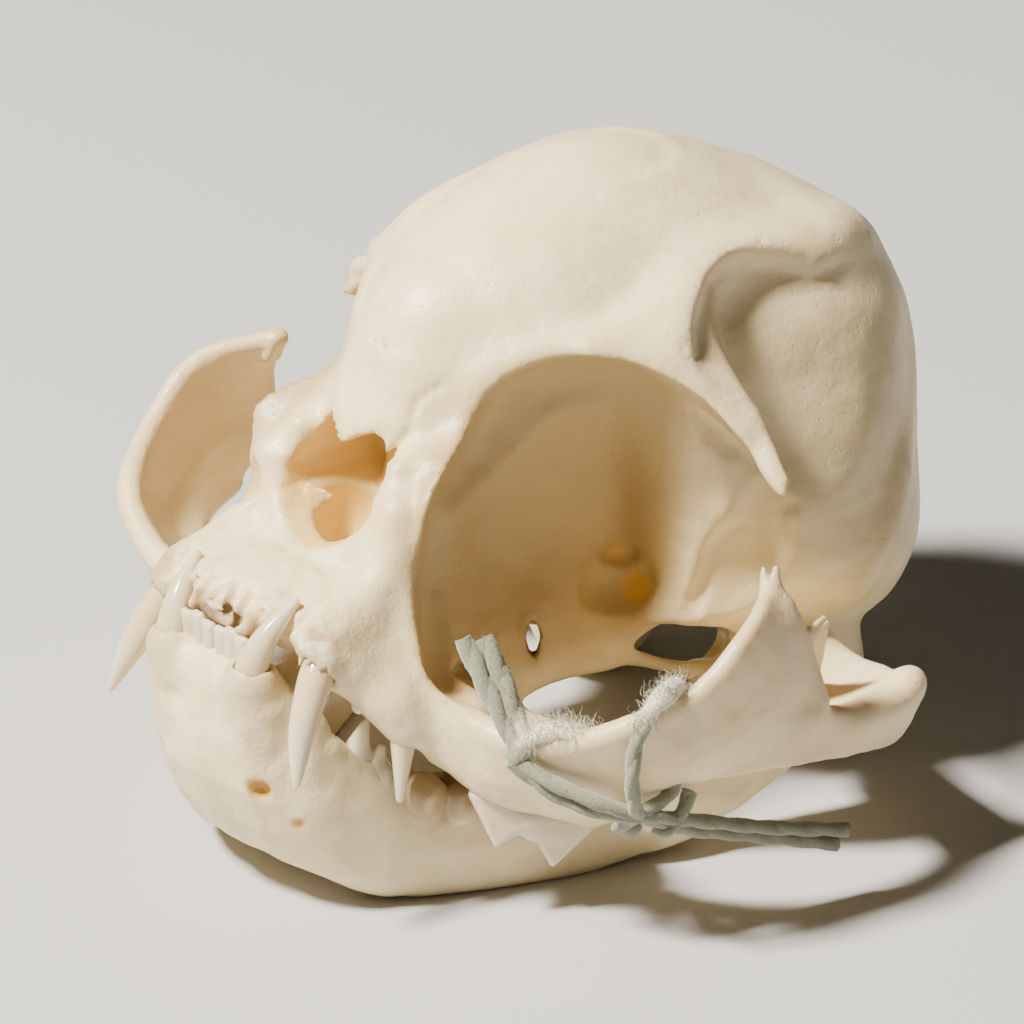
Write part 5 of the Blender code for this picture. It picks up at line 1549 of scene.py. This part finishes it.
BONE_CREAM = (0.78, 0.61, 0.31)
BONE_PALE = (0.92, 0.80, 0.53)
BONE_WARM = (0.70, 0.52, 0.27)
NO_LIGHT = (0.0, 0.0, 0.0)
THIN_WALL_GLOW_AND_SHADE = (0.50, 0.34, 0.13)
NOSE_GLOW_OCHRE = (0.72, 0.50, 0.15)
HOLE_GLOW_ORANGE = (0.55, 0.29, 0.05)
TEMPLE_STAIN_AND_SHADE = (0.42, 0.31, 0.16)
SOCKET_STAIN_AND_SHADE = (0.30, 0.19, 0.08)
HOLLOW_SHADE_BROWN = (0.42, 0.29, 0.15)
bone = bone_material()
print("dry bone:", len(bone.node_tree.nodes), "nodes")

# %% [markdown]
# Enamel is glass over ivory: little grain, strong scattering and a thin clear coat. Cotton has no gloss
# at all, only a sheen from its fuzz, and the two fluffed patches on the rim of the orbit are creamier.

# %% Enamel and cotton
ENAMEL_GRAIN = 0.0009
COTTON_GRAIN = 0.00025


def enamel_material():
    made, nodes, links = new_material("tooth enamel")
    shader = nodes["Principled BSDF"]
    cloud, height = grain(nodes, ENAMEL_GRAIN)
    near_tip = mask(nodes, "tip")
    colour = mixed(nodes, links, TOOTH_ROOT, TOOTH_TIP, near_tip)
    colour = mixed(nodes, links, colour, TOOTH_WARM, calculated(nodes, links, "MULTIPLY", cloud, 0.3))
    links.new(colour, shader.inputs["Base Color"])
    gloss = node(nodes, "MapRange", To_Min=0.10, To_Max=0.28)
    links.new(height, gloss.inputs["Value"])
    links.new(gloss.outputs["Result"], shader.inputs["Roughness"])
    bump = node(nodes, "Bump", Strength=0.25, Distance=0.0001)
    links.new(height, bump.inputs["Height"])
    links.new(bump.outputs["Normal"], shader.inputs["Normal"])
    shader.inputs["Subsurface Weight"].default_value = 0.5
    shader.inputs["Subsurface Radius"].default_value = (1.0, 0.85, 0.6)
    shader.inputs["Subsurface Scale"].default_value = 0.0012
    shader.inputs["Coat Weight"].default_value = 0.4
    shader.inputs["Coat Roughness"].default_value = 0.08
    return made


def cotton_material():
    made, nodes, links = new_material("cotton twine")
    shader = nodes["Principled BSDF"]
    height = grain(nodes, COTTON_GRAIN)[1]
    colour = mixed(nodes, links, COTTON_GREY, COTTON_PALE, height)
    colour = mixed(nodes, links, colour, COTTON_CREAM, mask(nodes, "cream"))
    links.new(colour, shader.inputs["Base Color"])
    bump = node(nodes, "Bump", Strength=0.8, Distance=0.00012)
    links.new(height, bump.inputs["Height"])
    links.new(bump.outputs["Normal"], shader.inputs["Normal"])
    shader.inputs["Roughness"].default_value = 0.92
    shader.inputs["Sheen Weight"].default_value = 0.4
    shader.inputs["Sheen Roughness"].default_value = 0.5
    return made


TOOTH_ROOT = (0.64, 0.49, 0.27)
TOOTH_TIP = (0.68, 0.59, 0.42)
TOOTH_WARM = (0.66, 0.50, 0.28)
COTTON_GREY = (0.15, 0.155, 0.10)
COTTON_PALE = (0.30, 0.30, 0.21)
COTTON_CREAM = (0.80, 0.72, 0.53)
enamel = enamel_material()
cotton = cotton_material()
for piece in (cranium, jaw_bone):
    piece.data.materials.append(bone)
tie.data.materials.append(cotton)
for tooth in teeth:
    tooth.data.materials.append(enamel)
print("finishes:", [material.name for material in (bone, enamel, cotton)])

# %% [markdown]
# ## Floor, light and camera
# A plain pale floor and soft studio light. Two big lamps would flatten the bone, so one lamp high in
# front gives the shape, and a weak one on the skull's left only lifts the shadows. The camera looks down
# on the skull from its front left through a long lens.

# %% Floor, light and camera
deselect()
bpy.ops.mesh.primitive_plane_add(size=3)
floor = bpy.context.active_object
floor.name = "floor"
floor_paint = bpy.data.materials.new("pale floor")
floor_paint.use_nodes = True
floor_shader = floor_paint.node_tree.nodes["Principled BSDF"]
floor_shader.inputs["Base Color"].default_value = (0.50, 0.495, 0.485, 1)
floor_shader.inputs["Roughness"].default_value = 0.6
floor.data.materials.append(floor_paint)


def soft_light(name, place, target, power, size, colour):
    bpy.ops.object.light_add(type="AREA", location=place)
    lamp = bpy.context.active_object
    lamp.name = name
    lamp.data.energy = power
    lamp.data.size = size
    lamp.data.color = colour
    lamp.rotation_euler = (Vector(target) - Vector(place)).to_track_quat("-Z", "Y").to_euler()
    return lamp


MIDDLE = (0, 0, 0.03)
soft_light("key", (-0.14, -0.50, 0.76), MIDDLE, 34.0, 0.13, (1.0, 0.95, 0.86))
soft_light("fill", (0.75, -0.55, 0.20), MIDDLE, 0.25, 0.50, (1.0, 0.95, 0.86))
world = bpy.data.worlds.new("studio")
bpy.context.scene.world = world
world.use_nodes = True
world.node_tree.nodes["Background"].inputs["Color"].default_value = (1.0, 0.98, 0.93, 1)
world.node_tree.nodes["Background"].inputs["Strength"].default_value = 0.05

CAMERA_PLACE = Vector((0.5500, -0.4969, 0.3792))
CAMERA_TARGET = Vector((0.01381, -0.01411, 0.03351))
LENS = 343.125
SENSOR_WIDTH = 36
bpy.ops.object.camera_add(location=CAMERA_PLACE)
camera = bpy.context.active_object
camera.rotation_euler = (CAMERA_PLACE - CAMERA_TARGET).to_track_quat("Z", "Y").to_euler()
camera.data.lens = LENS
camera.data.sensor_width = SENSOR_WIDTH
bpy.context.scene.camera = camera
print("camera", LENS, "mm lens,", round((CAMERA_PLACE - CAMERA_TARGET).length, 3), "m away")
